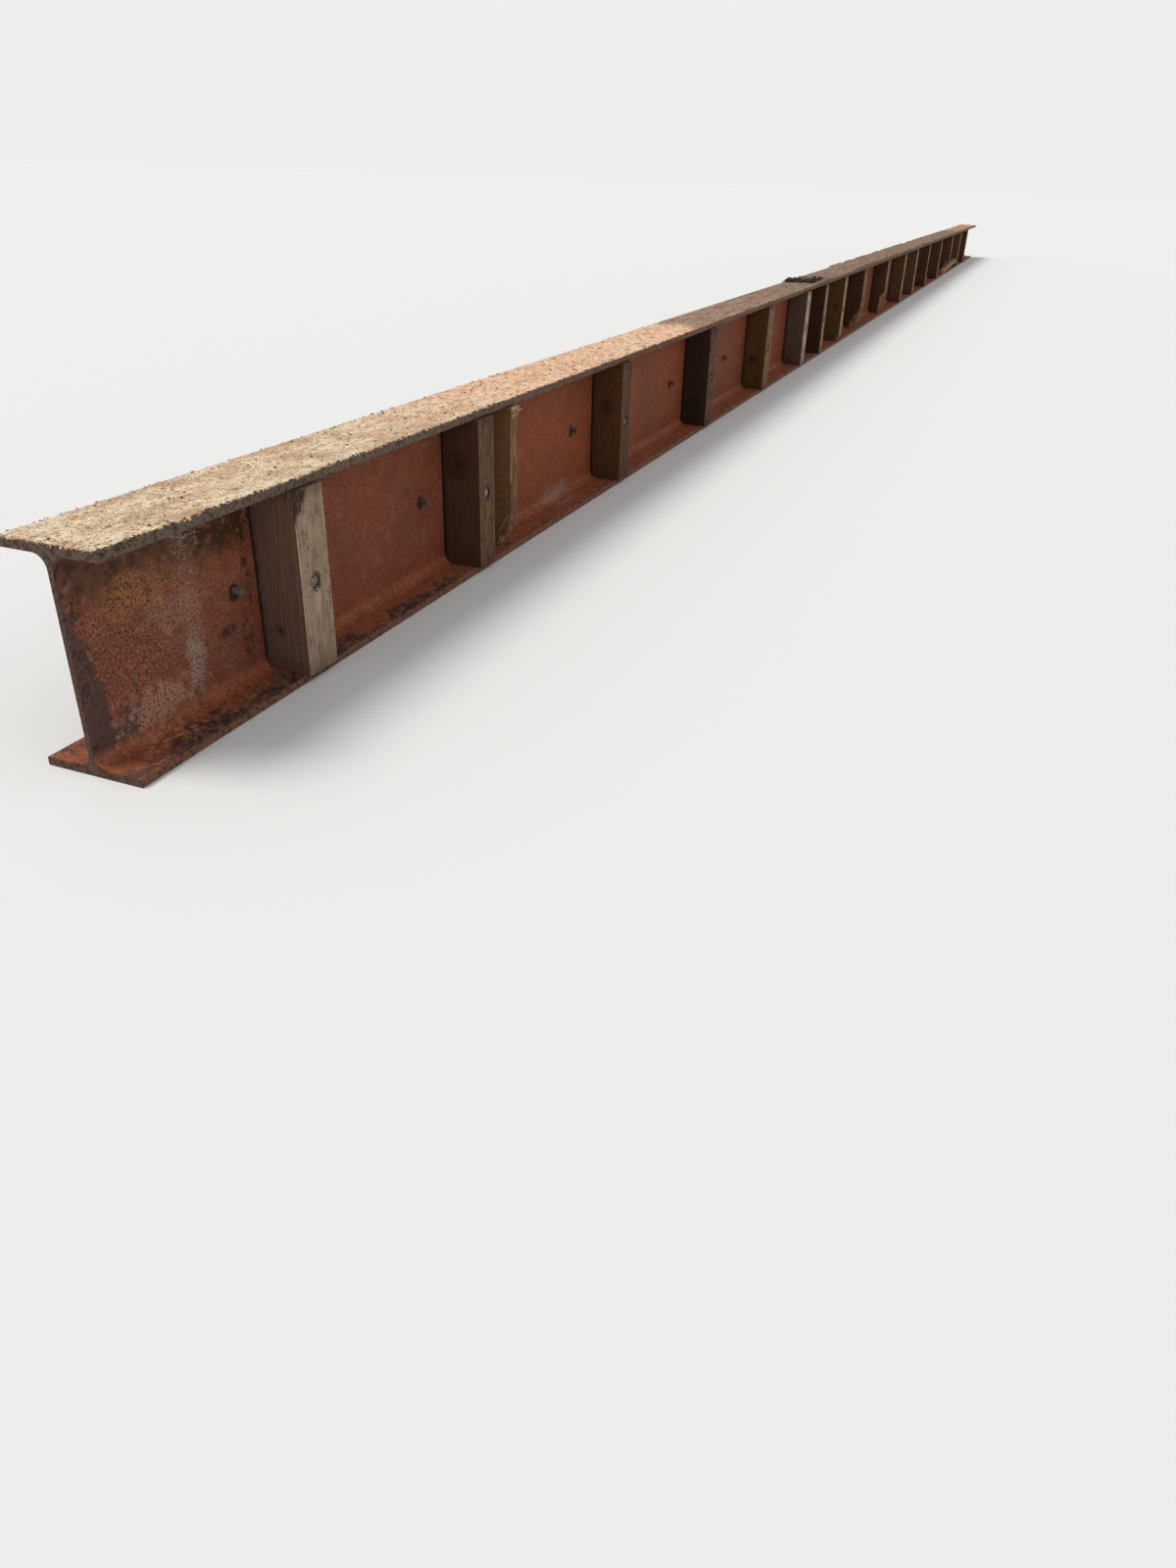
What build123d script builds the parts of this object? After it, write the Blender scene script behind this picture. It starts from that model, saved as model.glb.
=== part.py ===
from build123d import *
import os

# A used floor beam: one rolled steel I-section, lying on its bottom flange, with timber
# packers bolted to both sides of its web. +X runs along the beam from its near end to its
# far end, the front is the -Y side, and the origin is under the middle of the bottom flange.

# Rolled section, a parallel-flange beam 240 mm deep
BEAM_LENGTH = 10000.0
BEAM_DEPTH = 240.0
FLANGE_WIDTH = 120.0
FLANGE_THICKNESS = 9.8
WEB_THICKNESS = 6.2
ROOT_RADIUS = 15.0
TOE_RADIUS = 1.5

# Timber packers: posts that stand on the bottom flange, lean on the web and stand out past
# the flanges' edges
PACKER_STANDS_OUT = 6.0
PACKER_TOP_GAP = 1.0
CORNER_EASE = 4.0
PACKER_WIDTHS = (57.0, 49.0, 53.0, 59.0, 62.0)
BACK_STARTS_FROM = 2

# Splinter gone from the near outer corner of one packer's top
CHIPPED_PACKER = 1
CHIP_ALONG = 30.0
CHIP_INWARDS = 12.0
CHIP_DOWN = 34.0

# Stations of the packers, each measured from the near end or from the one before
FRONT_FIRST = 311.0
FRONT_BAYS = (451.0, 614.0, 609.0, 591.0, 524.0, 308.0, 377.0, 452.0,
              661.0, 594.0, 494.0, 582.0, 664.0, 723.0, 623.0, 547.0)
BACK_FIRST = 243.0
BACK_BAYS = (429.0, 576.0, 603.0, 471.0, 458.0, 580.0)
BACK_LATER_BAY = 600.0
END_MARGIN = 300.0

# Round-headed bolts, each through its packer and the web, its head sunk in the timber. They
# and their holes have few sides, because there are so many of them.
ROUND_SIDES = 12
BOLT_DIAMETER = 10.0
BOLT_LENGTH = 80.0
HEAD_DIAMETER = 16.0
HEAD_HEIGHT = 4.5
HEAD_BELOW_FACE = 0.5
HOLE_CLEARANCE = 1.0

# Thin board that stands across the front channel beyond the second packer
BOARD_THICKNESS = 24.0
BOARD_FOLLOWS = 2
BOARD_GAP = 60.0

# Loose stick that lies in the front channel and leans on the last packer but one
STICK_SECTION = 24.0
STICK_LENGTH = 900.0
STICK_RISE = 26.0
SEAT_GAP = 0.3

# Worked out from the sizes above
near_end = -BEAM_LENGTH / 2
web_face = WEB_THICKNESS / 2
packer_face = FLANGE_WIDTH / 2 + PACKER_STANDS_OUT
packer_depth = packer_face - web_face
packer_height = BEAM_DEPTH - 2 * FLANGE_THICKNESS - PACKER_TOP_GAP
packer_corner = ROOT_RADIUS + CORNER_EASE
bolt_height = BEAM_DEPTH / 2
recess_depth = HEAD_HEIGHT + HEAD_BELOW_FACE
bolt_seat = packer_face - recess_depth

# Where the timber has broken away. Each outline is given by its points as shares of the
# packer's depth, from its outer face inwards, and of its height, from the bottom flange up.
LOWER_CORNER_GONE = ((-0.1, -0.1), (0.56, -0.1), (0.5, 0.02), (0.3, 0.09), (0.16, 0.13),
                     (0.0, 0.2), (-0.1, 0.2))
LONG_POINT = ((-0.1, -0.1), (0.85, -0.1), (0.66, 0.08), (0.5, 0.12), (0.34, 0.24),
              (0.2, 0.27), (0.0, 0.36), (-0.1, 0.36))
TORN_EDGE = ((-0.1, 0.42), (0.0, 0.42), (0.34, 0.34), (0.28, 0.22), (0.36, 0.1),
             (0.3, -0.1), (-0.1, -0.1))
SPLIT_FOOT = ((-0.1, -0.1), (0.3, -0.1), (0.34, 0.05), (0.22, 0.04), (0.12, 0.12),
              (0.0, 0.07), (-0.1, 0.07))
STICK_PASSAGE = ((-0.1, -0.1), (0.52, -0.1), (0.52, 0.3), (0.4, 0.27), (0.3, 0.34),
                 (0.14, 0.31), (0.0, 0.36), (-0.1, 0.36))


def stations_from(first, bays):
    """Places along the beam, each one bay on from the one before, as far as it reaches."""
    places = [first]
    for bay in bays:
        if places[-1] + bay < BEAM_LENGTH - END_MARGIN:
            places.append(places[-1] + bay)
    return places


later_bays = round(BEAM_LENGTH / BACK_LATER_BAY)
front_stations = stations_from(FRONT_FIRST, FRONT_BAYS)
back_stations = stations_from(BACK_FIRST, BACK_BAYS + (BACK_LATER_BAY,) * later_bays)

# Packers are counted from 1 at the near end, and the stick passes the one before its rest
stick_leans_on = len(front_stations) - 1
front_breaks = {8: SPLIT_FOOT, 9: LONG_POINT, 10: TORN_EDGE, stick_leans_on - 1: STICK_PASSAGE}


def packer_width(number):
    return PACKER_WIDTHS[(number - 1) % len(PACKER_WIDTHS)]


def save(piece, name):
    piece.part.label = name
    export_step(piece.part, f"parts/{name}.step")


def round_section(diameter):
    RegularPolygon(diameter / 2, ROUND_SIDES)


def bolt_hole(diameter):
    """The section of the hole that a shank or a head of this diameter fits in."""
    round_section(diameter + HOLE_CLEARANCE)


def timber_section(side, broken):
    """Cross-section of a packer in the current sketch, with both inner corners rounded
    to clear the root fillets, and the broken timber taken off."""
    with Locations((side * (web_face + packer_depth / 2), FLANGE_THICKNESS + packer_height / 2)):
        Rectangle(packer_depth, packer_height)
    inner = 0 if side > 0 else -1
    fillet(vertices().group_by(Axis.X)[inner], packer_corner)
    if broken:
        outline = [(side * (packer_face - share_in * packer_depth),
                    FLANGE_THICKNESS + share_up * packer_height)
                   for share_in, share_up in broken]
        Polygon(*outline, align=None, mode=Mode.SUBTRACT)


def chip_slope(corner, side):
    """The plane that the splinter came off along, facing away from the timber that is left."""
    along = corner + Vector(CHIP_ALONG, 0, 0)
    inwards = corner - Vector(0, side * CHIP_INWARDS, 0)
    down = corner - Vector(0, 0, CHIP_DOWN)
    across = inwards - along
    facing = across.cross(down - along)
    if facing.dot(corner - along) < 0:
        facing = -facing
    return Plane(origin=along, x_dir=across, z_dir=facing)


def make_packer(name, station, side, width, broken=None, chipped=False):
    """A post between the flanges, bored for its bolt, with a recess for the bolt's head."""
    middle = near_end + station
    with BuildPart() as packer:
        with BuildSketch(Plane.YZ.offset(middle - width / 2)):
            timber_section(side, broken)
        extrude(amount=width)
        outer_face = Plane(origin=(middle, side * packer_face, bolt_height), z_dir=(0, side, 0))
        with BuildSketch(outer_face):
            bolt_hole(HEAD_DIAMETER)
        extrude(amount=-recess_depth, mode=Mode.SUBTRACT)
        with BuildSketch(outer_face):
            bolt_hole(BOLT_DIAMETER)
        extrude(amount=-packer_depth, mode=Mode.SUBTRACT)
        if chipped:
            corner = Vector(middle - width / 2, side * packer_face,
                            FLANGE_THICKNESS + packer_height)
            split(bisect_by=chip_slope(corner, side), keep=Keep.BOTTOM)
    save(packer, name)


def make_bolts(name, stations, side):
    """All the bolts of one side: each head sits in its packer's recess, and the plain end
    of the shank stands out of the web on the other side."""
    with BuildPart() as bolts:
        for station in stations:
            seat = Plane(origin=(near_end + station, side * bolt_seat, bolt_height),
                         z_dir=(0, side, 0))
            with BuildSketch(seat):
                round_section(HEAD_DIAMETER)
            extrude(amount=HEAD_HEIGHT)
            with BuildSketch(seat):
                round_section(BOLT_DIAMETER)
            extrude(amount=-BOLT_LENGTH)
    save(bolts, name)


os.makedirs("parts", exist_ok=True)

# The beam: the section drawn once and drawn out along X, then bored for the bolts
with BuildPart() as beam:
    with BuildSketch(Plane.YZ.offset(near_end)):
        with Locations((0, BEAM_DEPTH / 2)):
            Rectangle(WEB_THICKNESS, BEAM_DEPTH)
        with Locations((0, FLANGE_THICKNESS / 2), (0, BEAM_DEPTH - FLANGE_THICKNESS / 2)):
            Rectangle(FLANGE_WIDTH, FLANGE_THICKNESS)
        corners = vertices().group_by(Axis.X)
        fillet(corners[1] + corners[-2], ROOT_RADIUS)
        corners = vertices().group_by(Axis.X)
        fillet(corners[0] + corners[-1], TOE_RADIUS)
    extrude(amount=BEAM_LENGTH)
    with BuildSketch(Plane.XZ):
        with Locations(*[(near_end + station, bolt_height)
                         for station in front_stations + back_stations]):
            bolt_hole(BOLT_DIAMETER)
    extrude(amount=web_face, both=True, mode=Mode.SUBTRACT)
save(beam, "i_beam")

for number, station in enumerate(front_stations, start=1):
    make_packer(f"front_packer_{number}", station, -1, packer_width(number),
                front_breaks.get(number), number == CHIPPED_PACKER)

for number, station in enumerate(back_stations, start=1):
    make_packer(f"back_packer_{number}", station, 1, packer_width(number + BACK_STARTS_FROM))

make_bolts("front_bolts", front_stations, -1)
make_bolts("back_bolts", back_stations, 1)

# The broken board, its lower outer corner gone
board_start = front_stations[BOARD_FOLLOWS - 1] + packer_width(BOARD_FOLLOWS) / 2 + BOARD_GAP
with BuildPart() as board:
    with BuildSketch(Plane.YZ.offset(near_end + board_start)):
        timber_section(-1, LOWER_CORNER_GONE)
    extrude(amount=BOARD_THICKNESS)
save(board, "broken_board")

# The stick: its low end lies on the bottom flange, and its high end leans on a packer
leaned_on = front_stations[stick_leans_on - 1] - packer_width(stick_leans_on) / 2
stick_end = near_end + leaned_on - SEAT_GAP
stick_low = FLANGE_THICKNESS + SEAT_GAP
stick_face = FLANGE_WIDTH / 2
with BuildPart() as stick:
    with BuildSketch(Plane.XZ.offset(stick_face)):
        Polygon((stick_end - STICK_LENGTH, stick_low),
                (stick_end, stick_low + STICK_RISE),
                (stick_end, stick_low + STICK_RISE + STICK_SECTION),
                (stick_end - STICK_LENGTH, stick_low + STICK_SECTION),
                align=None)
    extrude(amount=-STICK_SECTION)
save(stick, "loose_stick")
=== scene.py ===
# %% [markdown]
# # A used floor beam with timber packers
#
# The object is a rolled steel I-section, ten metres long, that once carried a timber floor. Short
# timber posts stand between its flanges, each held by one round-headed bolt through the web.
# The exact solids come from the CAD frame. This script gives them their finishes, and adds what
# years of use left on them: crust, lumps, scale, splinters and debris.

# %% Load the frame
import math
import random

import bmesh
import bpy
from mathutils import Matrix, Vector


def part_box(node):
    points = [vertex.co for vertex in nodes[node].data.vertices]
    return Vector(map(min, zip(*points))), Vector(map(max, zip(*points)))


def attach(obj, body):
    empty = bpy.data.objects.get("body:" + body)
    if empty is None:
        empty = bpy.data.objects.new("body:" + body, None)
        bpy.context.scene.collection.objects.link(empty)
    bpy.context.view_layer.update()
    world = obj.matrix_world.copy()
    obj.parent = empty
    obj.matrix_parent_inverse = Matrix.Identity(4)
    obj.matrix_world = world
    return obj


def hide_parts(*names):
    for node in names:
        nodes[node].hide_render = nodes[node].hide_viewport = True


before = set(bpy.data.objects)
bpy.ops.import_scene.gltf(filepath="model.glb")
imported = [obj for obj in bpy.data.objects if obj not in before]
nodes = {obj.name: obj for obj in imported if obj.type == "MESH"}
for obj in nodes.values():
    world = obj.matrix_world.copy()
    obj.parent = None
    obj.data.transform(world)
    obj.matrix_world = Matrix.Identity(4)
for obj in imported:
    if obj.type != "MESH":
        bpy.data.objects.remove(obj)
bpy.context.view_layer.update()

beam_low, beam_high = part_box("i_beam")
post_low, post_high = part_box("front_packer_2")
NEAR = beam_low.x
FAR = beam_high.x
TOP = beam_high.z
HALF_WIDTH = beam_high.y
FLANGE = post_low.z
WEB_FACE = -post_high.y
PACKER_FACE = -post_low.y
print("beam", round(FAR - NEAR, 3), "m long,", round(TOP, 3), "m deep, flanges",
      round(FLANGE * 1000, 1), "mm and web", round(WEB_FACE * 2000, 1), "mm thick")

# %% [markdown]
# ## Where the posts stand
#
# The finishes and the small forms need each post's place along the beam. It could be typed in
# again, but then it would go wrong as soon as the CAD model changed. It is read from the boxes of
# the CAD nodes instead.

# %% Places of the posts
def post_middle(node):
    """A post's place along the beam from the near end, and half its width."""
    low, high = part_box(node)
    return (low.x + high.x) / 2 - NEAR, (high.x - low.x) / 2


def posts_of(side_name):
    """The posts of one side, counted from the near end."""
    return sorted((name for name in nodes if name.startswith(side_name + "_packer_")),
                  key=lambda name: int(name.split("_")[-1]))


front_posts = posts_of("front")
back_posts = posts_of("back")
print(len(front_posts), "posts in front and", len(back_posts), "behind")

# %% [markdown]
# ## Where the camera stands
#
# The camera has the position, the tilt and the focal length that fit the beam's edges in the
# photograph. Its roll of almost two degrees is part of that fit. Placed by eye, it would do for a
# picture, but the render couldn't be laid over the photograph to compare them. The turn is measured
# from +Y towards +X, which makes the three angles easy to read.

# %% Camera
IMAGE_LONG_SIDE = 1600
FOCAL_PIXELS = 1109
CAMERA_AT = Vector((-5.7154, -0.8043, 0.5473))
CAMERA_TURN = math.radians(69.228)
CAMERA_TILT = math.radians(-29.409)
CAMERA_ROLL = math.radians(1.827)

forward = Vector((math.sin(CAMERA_TURN) * math.cos(CAMERA_TILT),
                  math.cos(CAMERA_TURN) * math.cos(CAMERA_TILT),
                  math.sin(CAMERA_TILT)))
level_right = forward.cross(Vector((0, 0, 1))).normalized()
level_up = level_right.cross(forward)
right = level_right * math.cos(CAMERA_ROLL) + level_up * math.sin(CAMERA_ROLL)
up = right.cross(forward)
camera_data = bpy.data.cameras.new("camera")
camera_data.sensor_width = 36.0
camera_data.lens = camera_data.sensor_width * FOCAL_PIXELS / IMAGE_LONG_SIDE
camera_data.clip_start = 0.05
camera_data.clip_end = 200.0
camera = bpy.data.objects.new("camera", camera_data)
bpy.context.scene.collection.objects.link(camera)
camera_turn = Matrix((right, up, -forward)).transposed().to_4x4()
camera.matrix_world = Matrix.Translation(CAMERA_AT) @ camera_turn
bpy.context.scene.camera = camera
bpy.context.scene.view_settings.view_transform = "Standard"
print("lens", round(camera_data.lens, 2), "mm")

# %% [markdown]
# ## A small helper for node trees
#
# Both materials and Geometry Nodes are trees of nodes. Writing each node and link by hand is long,
# so this helper adds a node, fills its inputs with numbers or with other nodes' outputs, and gives
# its output back. A tree then reads like a formula.

# %% Node helper
class Tree:
    """A node tree that is written like a formula: each method adds a node and returns its output."""

    def __init__(self, tree):
        self.tree = tree

    def add(self, kind, inputs=(), out=0, **settings):
        made = self.tree.nodes.new(kind)
        for name, value in settings.items():
            setattr(made, name, value)
        for key, value in dict(inputs).items():
            if isinstance(value, bpy.types.NodeSocket):
                self.tree.links.new(value, made.inputs[key])
            else:
                made.inputs[key].default_value = value
        return made.outputs[out]

    def end(self, kind, **inputs):
        """The tree's output node, which has no output of its own to return."""
        made = self.tree.nodes.new(kind)
        for name, socket in inputs.items():
            self.tree.links.new(socket, made.inputs[name])

    def math(self, operation, *values):
        return self.add("ShaderNodeMath", enumerate(values), operation=operation)

    def vector(self, operation, *values, out=0):
        return self.add("ShaderNodeVectorMath", enumerate(values), out, operation=operation)

    def ramp(self, value, start, end, low=0.0, high=1.0):
        """Low up to start, high from end on, and smooth between. Start may be past end."""
        return self.add("ShaderNodeMapRange", {"Value": value, "From Min": start, "From Max": end,
                        "To Min": low, "To Max": high}, interpolation_type="SMOOTHSTEP")

    def noise(self, place, scale, detail=4.0, roughness=0.55):
        return self.add("ShaderNodeTexNoise", {"Vector": place, "Scale": scale, "Detail": detail,
                        "Roughness": roughness})

    def mix(self, share, first, second):
        """A blend of two colours."""
        return self.add("ShaderNodeMix", {0: share, 6: first, 7: second}, 2, data_type="RGBA")

    def xyz(self, place):
        parts = self.tree.nodes.new("ShaderNodeSeparateXYZ")
        self.tree.links.new(place, parts.inputs[0])
        return parts.outputs


def rgb(red, green, blue):
    """A colour in linear light."""
    return (red, green, blue, 1.0)


def list_methods(kind):
    methods = [name for name, made in vars(kind).items() if callable(made) and name[0] != "_"]
    print(kind.__name__, "can:", ", ".join(methods))


list_methods(Tree)

# %% [markdown]
# ## Floor
#
# The beam lies on a plain pale floor, a single large face. Its grey isn't white, so that the beam's
# shadow and the light that comes back up from it both stay natural.

# %% Floor
FLOOR_SIZE = 120.0
FLOOR_GREY = 0.72


def make_floor():
    mesh = bpy.data.meshes.new("floor")
    half = FLOOR_SIZE / 2
    mesh.from_pydata([(-half, -half, 0), (half, -half, 0), (half, half, 0), (-half, half, 0)],
                     [], [(0, 1, 2, 3)])
    floor = bpy.data.objects.new("floor", mesh)
    bpy.context.scene.collection.objects.link(floor)
    material = bpy.data.materials.new("pale_floor")
    material.use_nodes = True
    shader = material.node_tree.nodes["Principled BSDF"]
    shader.inputs["Base Color"].default_value = rgb(FLOOR_GREY, FLOOR_GREY, FLOOR_GREY)
    shader.inputs["Roughness"].default_value = 0.9
    mesh.materials.append(material)


make_floor()
print("floor of", FLOOR_SIZE, "m")

# %% [markdown]
# ## Lamps
#
# One soft lamp stands high behind the beam and makes its top the brightest surface, as daylight
# does in the photograph. A weak one in front opens up the side in view. Sun lamps are used because
# the beam is ten metres long, and a lamp at a place would light its near end more than its far one.

# %% Lamps
def make_sun(name, strength, spread, turn, height, tint=(1, 1, 1)):
    """A lamp that shines from a compass turn, measured from +Y towards +X, and a height."""
    lamp = bpy.data.lights.new(name, "SUN")
    lamp.energy = strength
    lamp.angle = math.radians(spread)
    lamp.color = tint
    holder = bpy.data.objects.new(name, lamp)
    turn, height = math.radians(turn), math.radians(height)
    source = Vector((math.sin(turn) * math.cos(height), math.cos(turn) * math.cos(height),
                     math.sin(height)))
    holder.rotation_mode = "QUATERNION"
    holder.rotation_quaternion = source.to_track_quat("Z", "Y")
    bpy.context.scene.collection.objects.link(holder)
    print(name, "shines at strength", strength)


make_sun("high_back_light", strength=2.3, spread=25, turn=-35, height=58, tint=(1.0, 0.97, 0.92))
make_sun("front_fill", strength=0.45, spread=60, turn=200, height=35)

# %% [markdown]
# ## World
#
# The world gives even light all round. The camera, reflections and glass see it as a plain pale
# backdrop instead, which the Light Path node tells apart. How bright the backdrop looks and how
# much even light falls on the beam are then two numbers, where one would have to serve for both.

# %% World
WORLD_LIGHT = 0.5
SKY_TINT = rgb(0.95, 0.98, 1.0)
BACKDROP = rgb(0.86, 0.86, 0.85)


def make_world():
    world = bpy.data.worlds.new("studio")
    world.use_nodes = True
    world.node_tree.nodes.clear()
    bpy.context.scene.world = world
    tree = Tree(world.node_tree)
    path = tree.tree.nodes.new("ShaderNodeLightPath")
    seen = tree.math("MAXIMUM", path.outputs["Is Camera Ray"], path.outputs["Is Glossy Ray"])
    seen = tree.math("MAXIMUM", seen, path.outputs["Is Transmission Ray"])
    lit = tree.add("ShaderNodeBackground", {"Color": SKY_TINT, "Strength": WORLD_LIGHT})
    shown = tree.add("ShaderNodeBackground", {"Color": BACKDROP, "Strength": 1.0})
    either = tree.add("ShaderNodeMixShader", {0: seen, 1: lit, 2: shown})
    tree.end("ShaderNodeOutputWorld", Surface=either)


make_world()
print("world light", WORLD_LIGHT)

# %% [markdown]
# ## Finishes from places and noise
#
# Rust, paint and dirt belong to places on the beam: a bare strip at its cut end, an ochre patch, a
# chalky streak, dark worn patches along the lower flange. A painted picture could show them, but it
# would be sharp at one distance only. Every finish here is a base colour with ragged blots laid
# over it instead. A blot is an ellipse at a place on the beam, and noise breaks its rim up. All of
# them read Object coordinates, so they stay where they are in every view.

# %% Finish helper
class Finish(Tree):
    """A material in the making. Its places are metres, with X counted from the beam's near end."""

    def __init__(self, name):
        self.material = bpy.data.materials.new(name)
        self.material.use_nodes = True
        super().__init__(self.material.node_tree)
        self.shader = self.tree.nodes["Principled BSDF"]
        self.place = self.add("ShaderNodeTexCoord", out="Object")
        self.spot = self.vector("SUBTRACT", self.place, (NEAR, 0.0, 0.0))
        self.along, self.out, self.up = self.xyz(self.spot)
        self.normal = self.add("ShaderNodeNewGeometry", out="Normal")
        self.facing_x, self.facing_y, self.facing_z = self.xyz(self.normal)
        self.colour = None

    def blot(self, centre, size, ragged=0.5, grain=70.0, soft=0.3):
        """1 inside an ellipsoid at a place, 0 outside, with a rim broken up by noise."""
        shares = tuple(1.0 / s for s in size)
        away = self.vector("MULTIPLY", self.vector("SUBTRACT", self.spot, centre), shares)
        away = self.vector("LENGTH", away, out=1)
        rough = self.math("SUBTRACT", self.noise(self.spot, grain), 0.5)
        away = self.math("MULTIPLY_ADD", rough, 2.0 * ragged, away)
        return self.ramp(away, 1.0 + soft, 1.0 - soft)

    def both(self, *shares):
        """The product of several shares."""
        result = shares[0]
        for share in shares[1:]:
            result = self.math("MULTIPLY", result, share)
        return result

    def size_of(self, part):
        """How far a coordinate is from zero, or how much a face looks along it."""
        return self.math("ABSOLUTE", part)

    def stretched(self, *shares):
        """The place with each axis scaled, which draws a noise out along the small ones."""
        return self.vector("MULTIPLY", self.spot, shares)

    def specks(self, scale, start, end, detail=2.0):
        """Scattered specks: the peaks of a fine noise."""
        return self.ramp(self.noise(self.spot, scale, detail), start, end)

    def lay(self, share, colour, strength=1.0):
        """Lays a colour over what is there, as far as the share says."""
        if strength != 1.0:
            share = self.math("MULTIPLY", share, strength)
        self.colour = self.mix(share, self.colour, colour)

    def lay_in(self, area, *layers):
        """Lays colours inside one area. Each layer is a share, a colour and a strength."""
        for share, colour, strength in layers:
            self.lay(self.both(area, share), colour, strength)

    def finish(self, roughness, height, depth, metallic=0.0, shine=0.2):
        """Sets the shader. Height is a field, and depth is how many metres it stands for."""
        bump = self.add("ShaderNodeBump", {"Height": height, "Distance": depth, "Strength": 1.0})
        for key, value in {"Base Color": self.colour, "Roughness": roughness, "Normal": bump,
                           "Metallic": metallic, "Specular IOR Level": shine}.items():
            if isinstance(value, bpy.types.NodeSocket):
                self.tree.links.new(value, self.shader.inputs[key])
            else:
                self.shader.inputs[key].default_value = value
        return self.material


def dress(node, material):
    """Gives a CAD node its finish. Its mesh stays as it is."""
    slots = nodes[node].data.materials
    slots.clear()
    slots.append(material)


list_methods(Finish)

# %% [markdown]
# ## The grain that all the steel's layers share
#
# Rust eats into steel in the same spots again and again, so dark pits lie in the middle of brown
# flakes. Four noises are made once, and most layers take a share of one of them. The layers then
# fit into each other, where a new noise for every layer would only make a blur.
# The hidden side of the web lies 6 mm behind the side in view, so a blot shows on both. A mark is a
# blot that a ramp across the web keeps on the side in view.

# %% Steel's grain
MARK_DEPTH = 0.03


class Steel(Finish):
    """The beam's finish, with the noises that its layers share."""

    def __init__(self):
        super().__init__("red_primer_and_rust")
        self.wide = self.noise(self.spot, 5.0, 5.0)
        self.clouds = self.noise(self.spot, 38.0, 6.0, 0.65)
        self.flaky = self.noise(self.spot, 75.0, 9.0, 0.75)
        self.fine = self.noise(self.spot, 420.0, 3.0)
        self.in_view = self.ramp(self.out, 0.001, -0.001)

    def flakes(self, start, end):
        """Ragged flakes: the peaks of the flaky noise, or its dips where start is past end."""
        return self.ramp(self.flaky, start, end)

    def mark(self, *shape):
        """A blot on the side in view alone."""
        return self.both(self.in_view, self.blot(*shape))

    def how_many(self):
        return len(self.tree.nodes)


def on_web(along, up, half_length, half_height):
    """The centre and the half sizes of a blot on the web."""
    return (along, -WEB_FACE, up), (half_length, MARK_DEPTH, half_height)


steel = Steel()
print("steel starts with", steel.how_many(), "nodes")

# %% [markdown]
# ## Red primer over rusting steel
#
# The web still has its red primer: brick-red near the camera, more orange further on, and speckled
# with fine rust. Ramps along the beam blend three reds into each other. Wide and middling noise
# darkens them or turns them pink, as the paint's thickness does, and two fine noises scatter rust
# specks and pale dots over it. The colours are written as they look in plain light, so they are
# lighter than in the photograph, where this side is in shade.

# %% Primer
PRIMER = rgb(0.245, 0.064, 0.032)
PRIMER_ORANGE = rgb(0.265, 0.060, 0.020)
PRIMER_FAR = rgb(0.195, 0.044, 0.015)
PRIMER_PINK = rgb(0.29, 0.135, 0.090)
PRIMER_DARK = rgb(0.115, 0.040, 0.024)
SPECK = rgb(0.03, 0.016, 0.012)
CHALK = rgb(0.34, 0.27, 0.22)


def lay_primer():
    steel.colour = steel.mix(steel.ramp(steel.along, 0.3, 1.2), PRIMER, PRIMER_ORANGE)
    steel.lay(steel.ramp(steel.along, 1.4, 3.6), PRIMER_FAR)
    steel.lay(steel.ramp(steel.wide, 0.42, 0.68), PRIMER_DARK, 0.45)
    steel.lay(steel.ramp(steel.clouds, 0.50, 0.70), PRIMER_PINK, 0.5)
    steel.lay(steel.ramp(steel.clouds, 0.46, 0.34), PRIMER_DARK, 0.5)
    steel.lay(steel.specks(420.0, 0.53, 0.58, 4.0), SPECK, 0.6)
    steel.lay(steel.specks(640.0, 0.58, 0.63), CHALK, 0.2)


lay_primer()
print("primer laid,", steel.how_many(), "nodes")

# %% [markdown]
# ## The mottled near end
#
# The first third of a metre has weathered most. It is mottled with rust-brown flakes, pinkish bare
# spots, dark specks and pale flecks. They fade out along the beam by a ramp, so no border shows.

# %% Mottling
MOTTLED_FULLY, MOTTLED_UP_TO = 0.10, 0.36
RUST_BROWN = rgb(0.13, 0.058, 0.03)
PALE_FLECK = rgb(0.36, 0.19, 0.13)


def lay_mottling():
    near_end = steel.ramp(steel.along, MOTTLED_UP_TO, MOTTLED_FULLY)
    steel.lay_in(near_end,
                 (steel.flakes(0.52, 0.57), RUST_BROWN, 0.65),
                 (steel.flakes(0.42, 0.39), PRIMER_PINK, 0.6),
                 (steel.specks(340.0, 0.545, 0.580, 3.0), SPECK, 0.8),
                 (steel.specks(390.0, 0.57, 0.61, 3.0), PALE_FLECK, 0.55))


lay_mottling()
print("near end mottled,", steel.how_many(), "nodes")

# %% [markdown]
# ## Painted shade and rust under the top flange
#
# Under the flange the web is darker, which is painted shade of the flange, with scorched rust flakes
# in it. The zone's lower border is a ramp on the height with noise added to it, which makes it hang
# down unevenly. The corner beside the first post has the darkest painted shade, with ochre flakes in
# it.

# %% Shade and rust under the flange
UNDER_FLANGE_SHADE = rgb(0.110, 0.044, 0.025)
SCORCHED = rgb(0.055, 0.028, 0.020)
CORNER_SHADE = rgb(0.050, 0.020, 0.010)
OCHRE = rgb(0.34, 0.132, 0.055)


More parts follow.
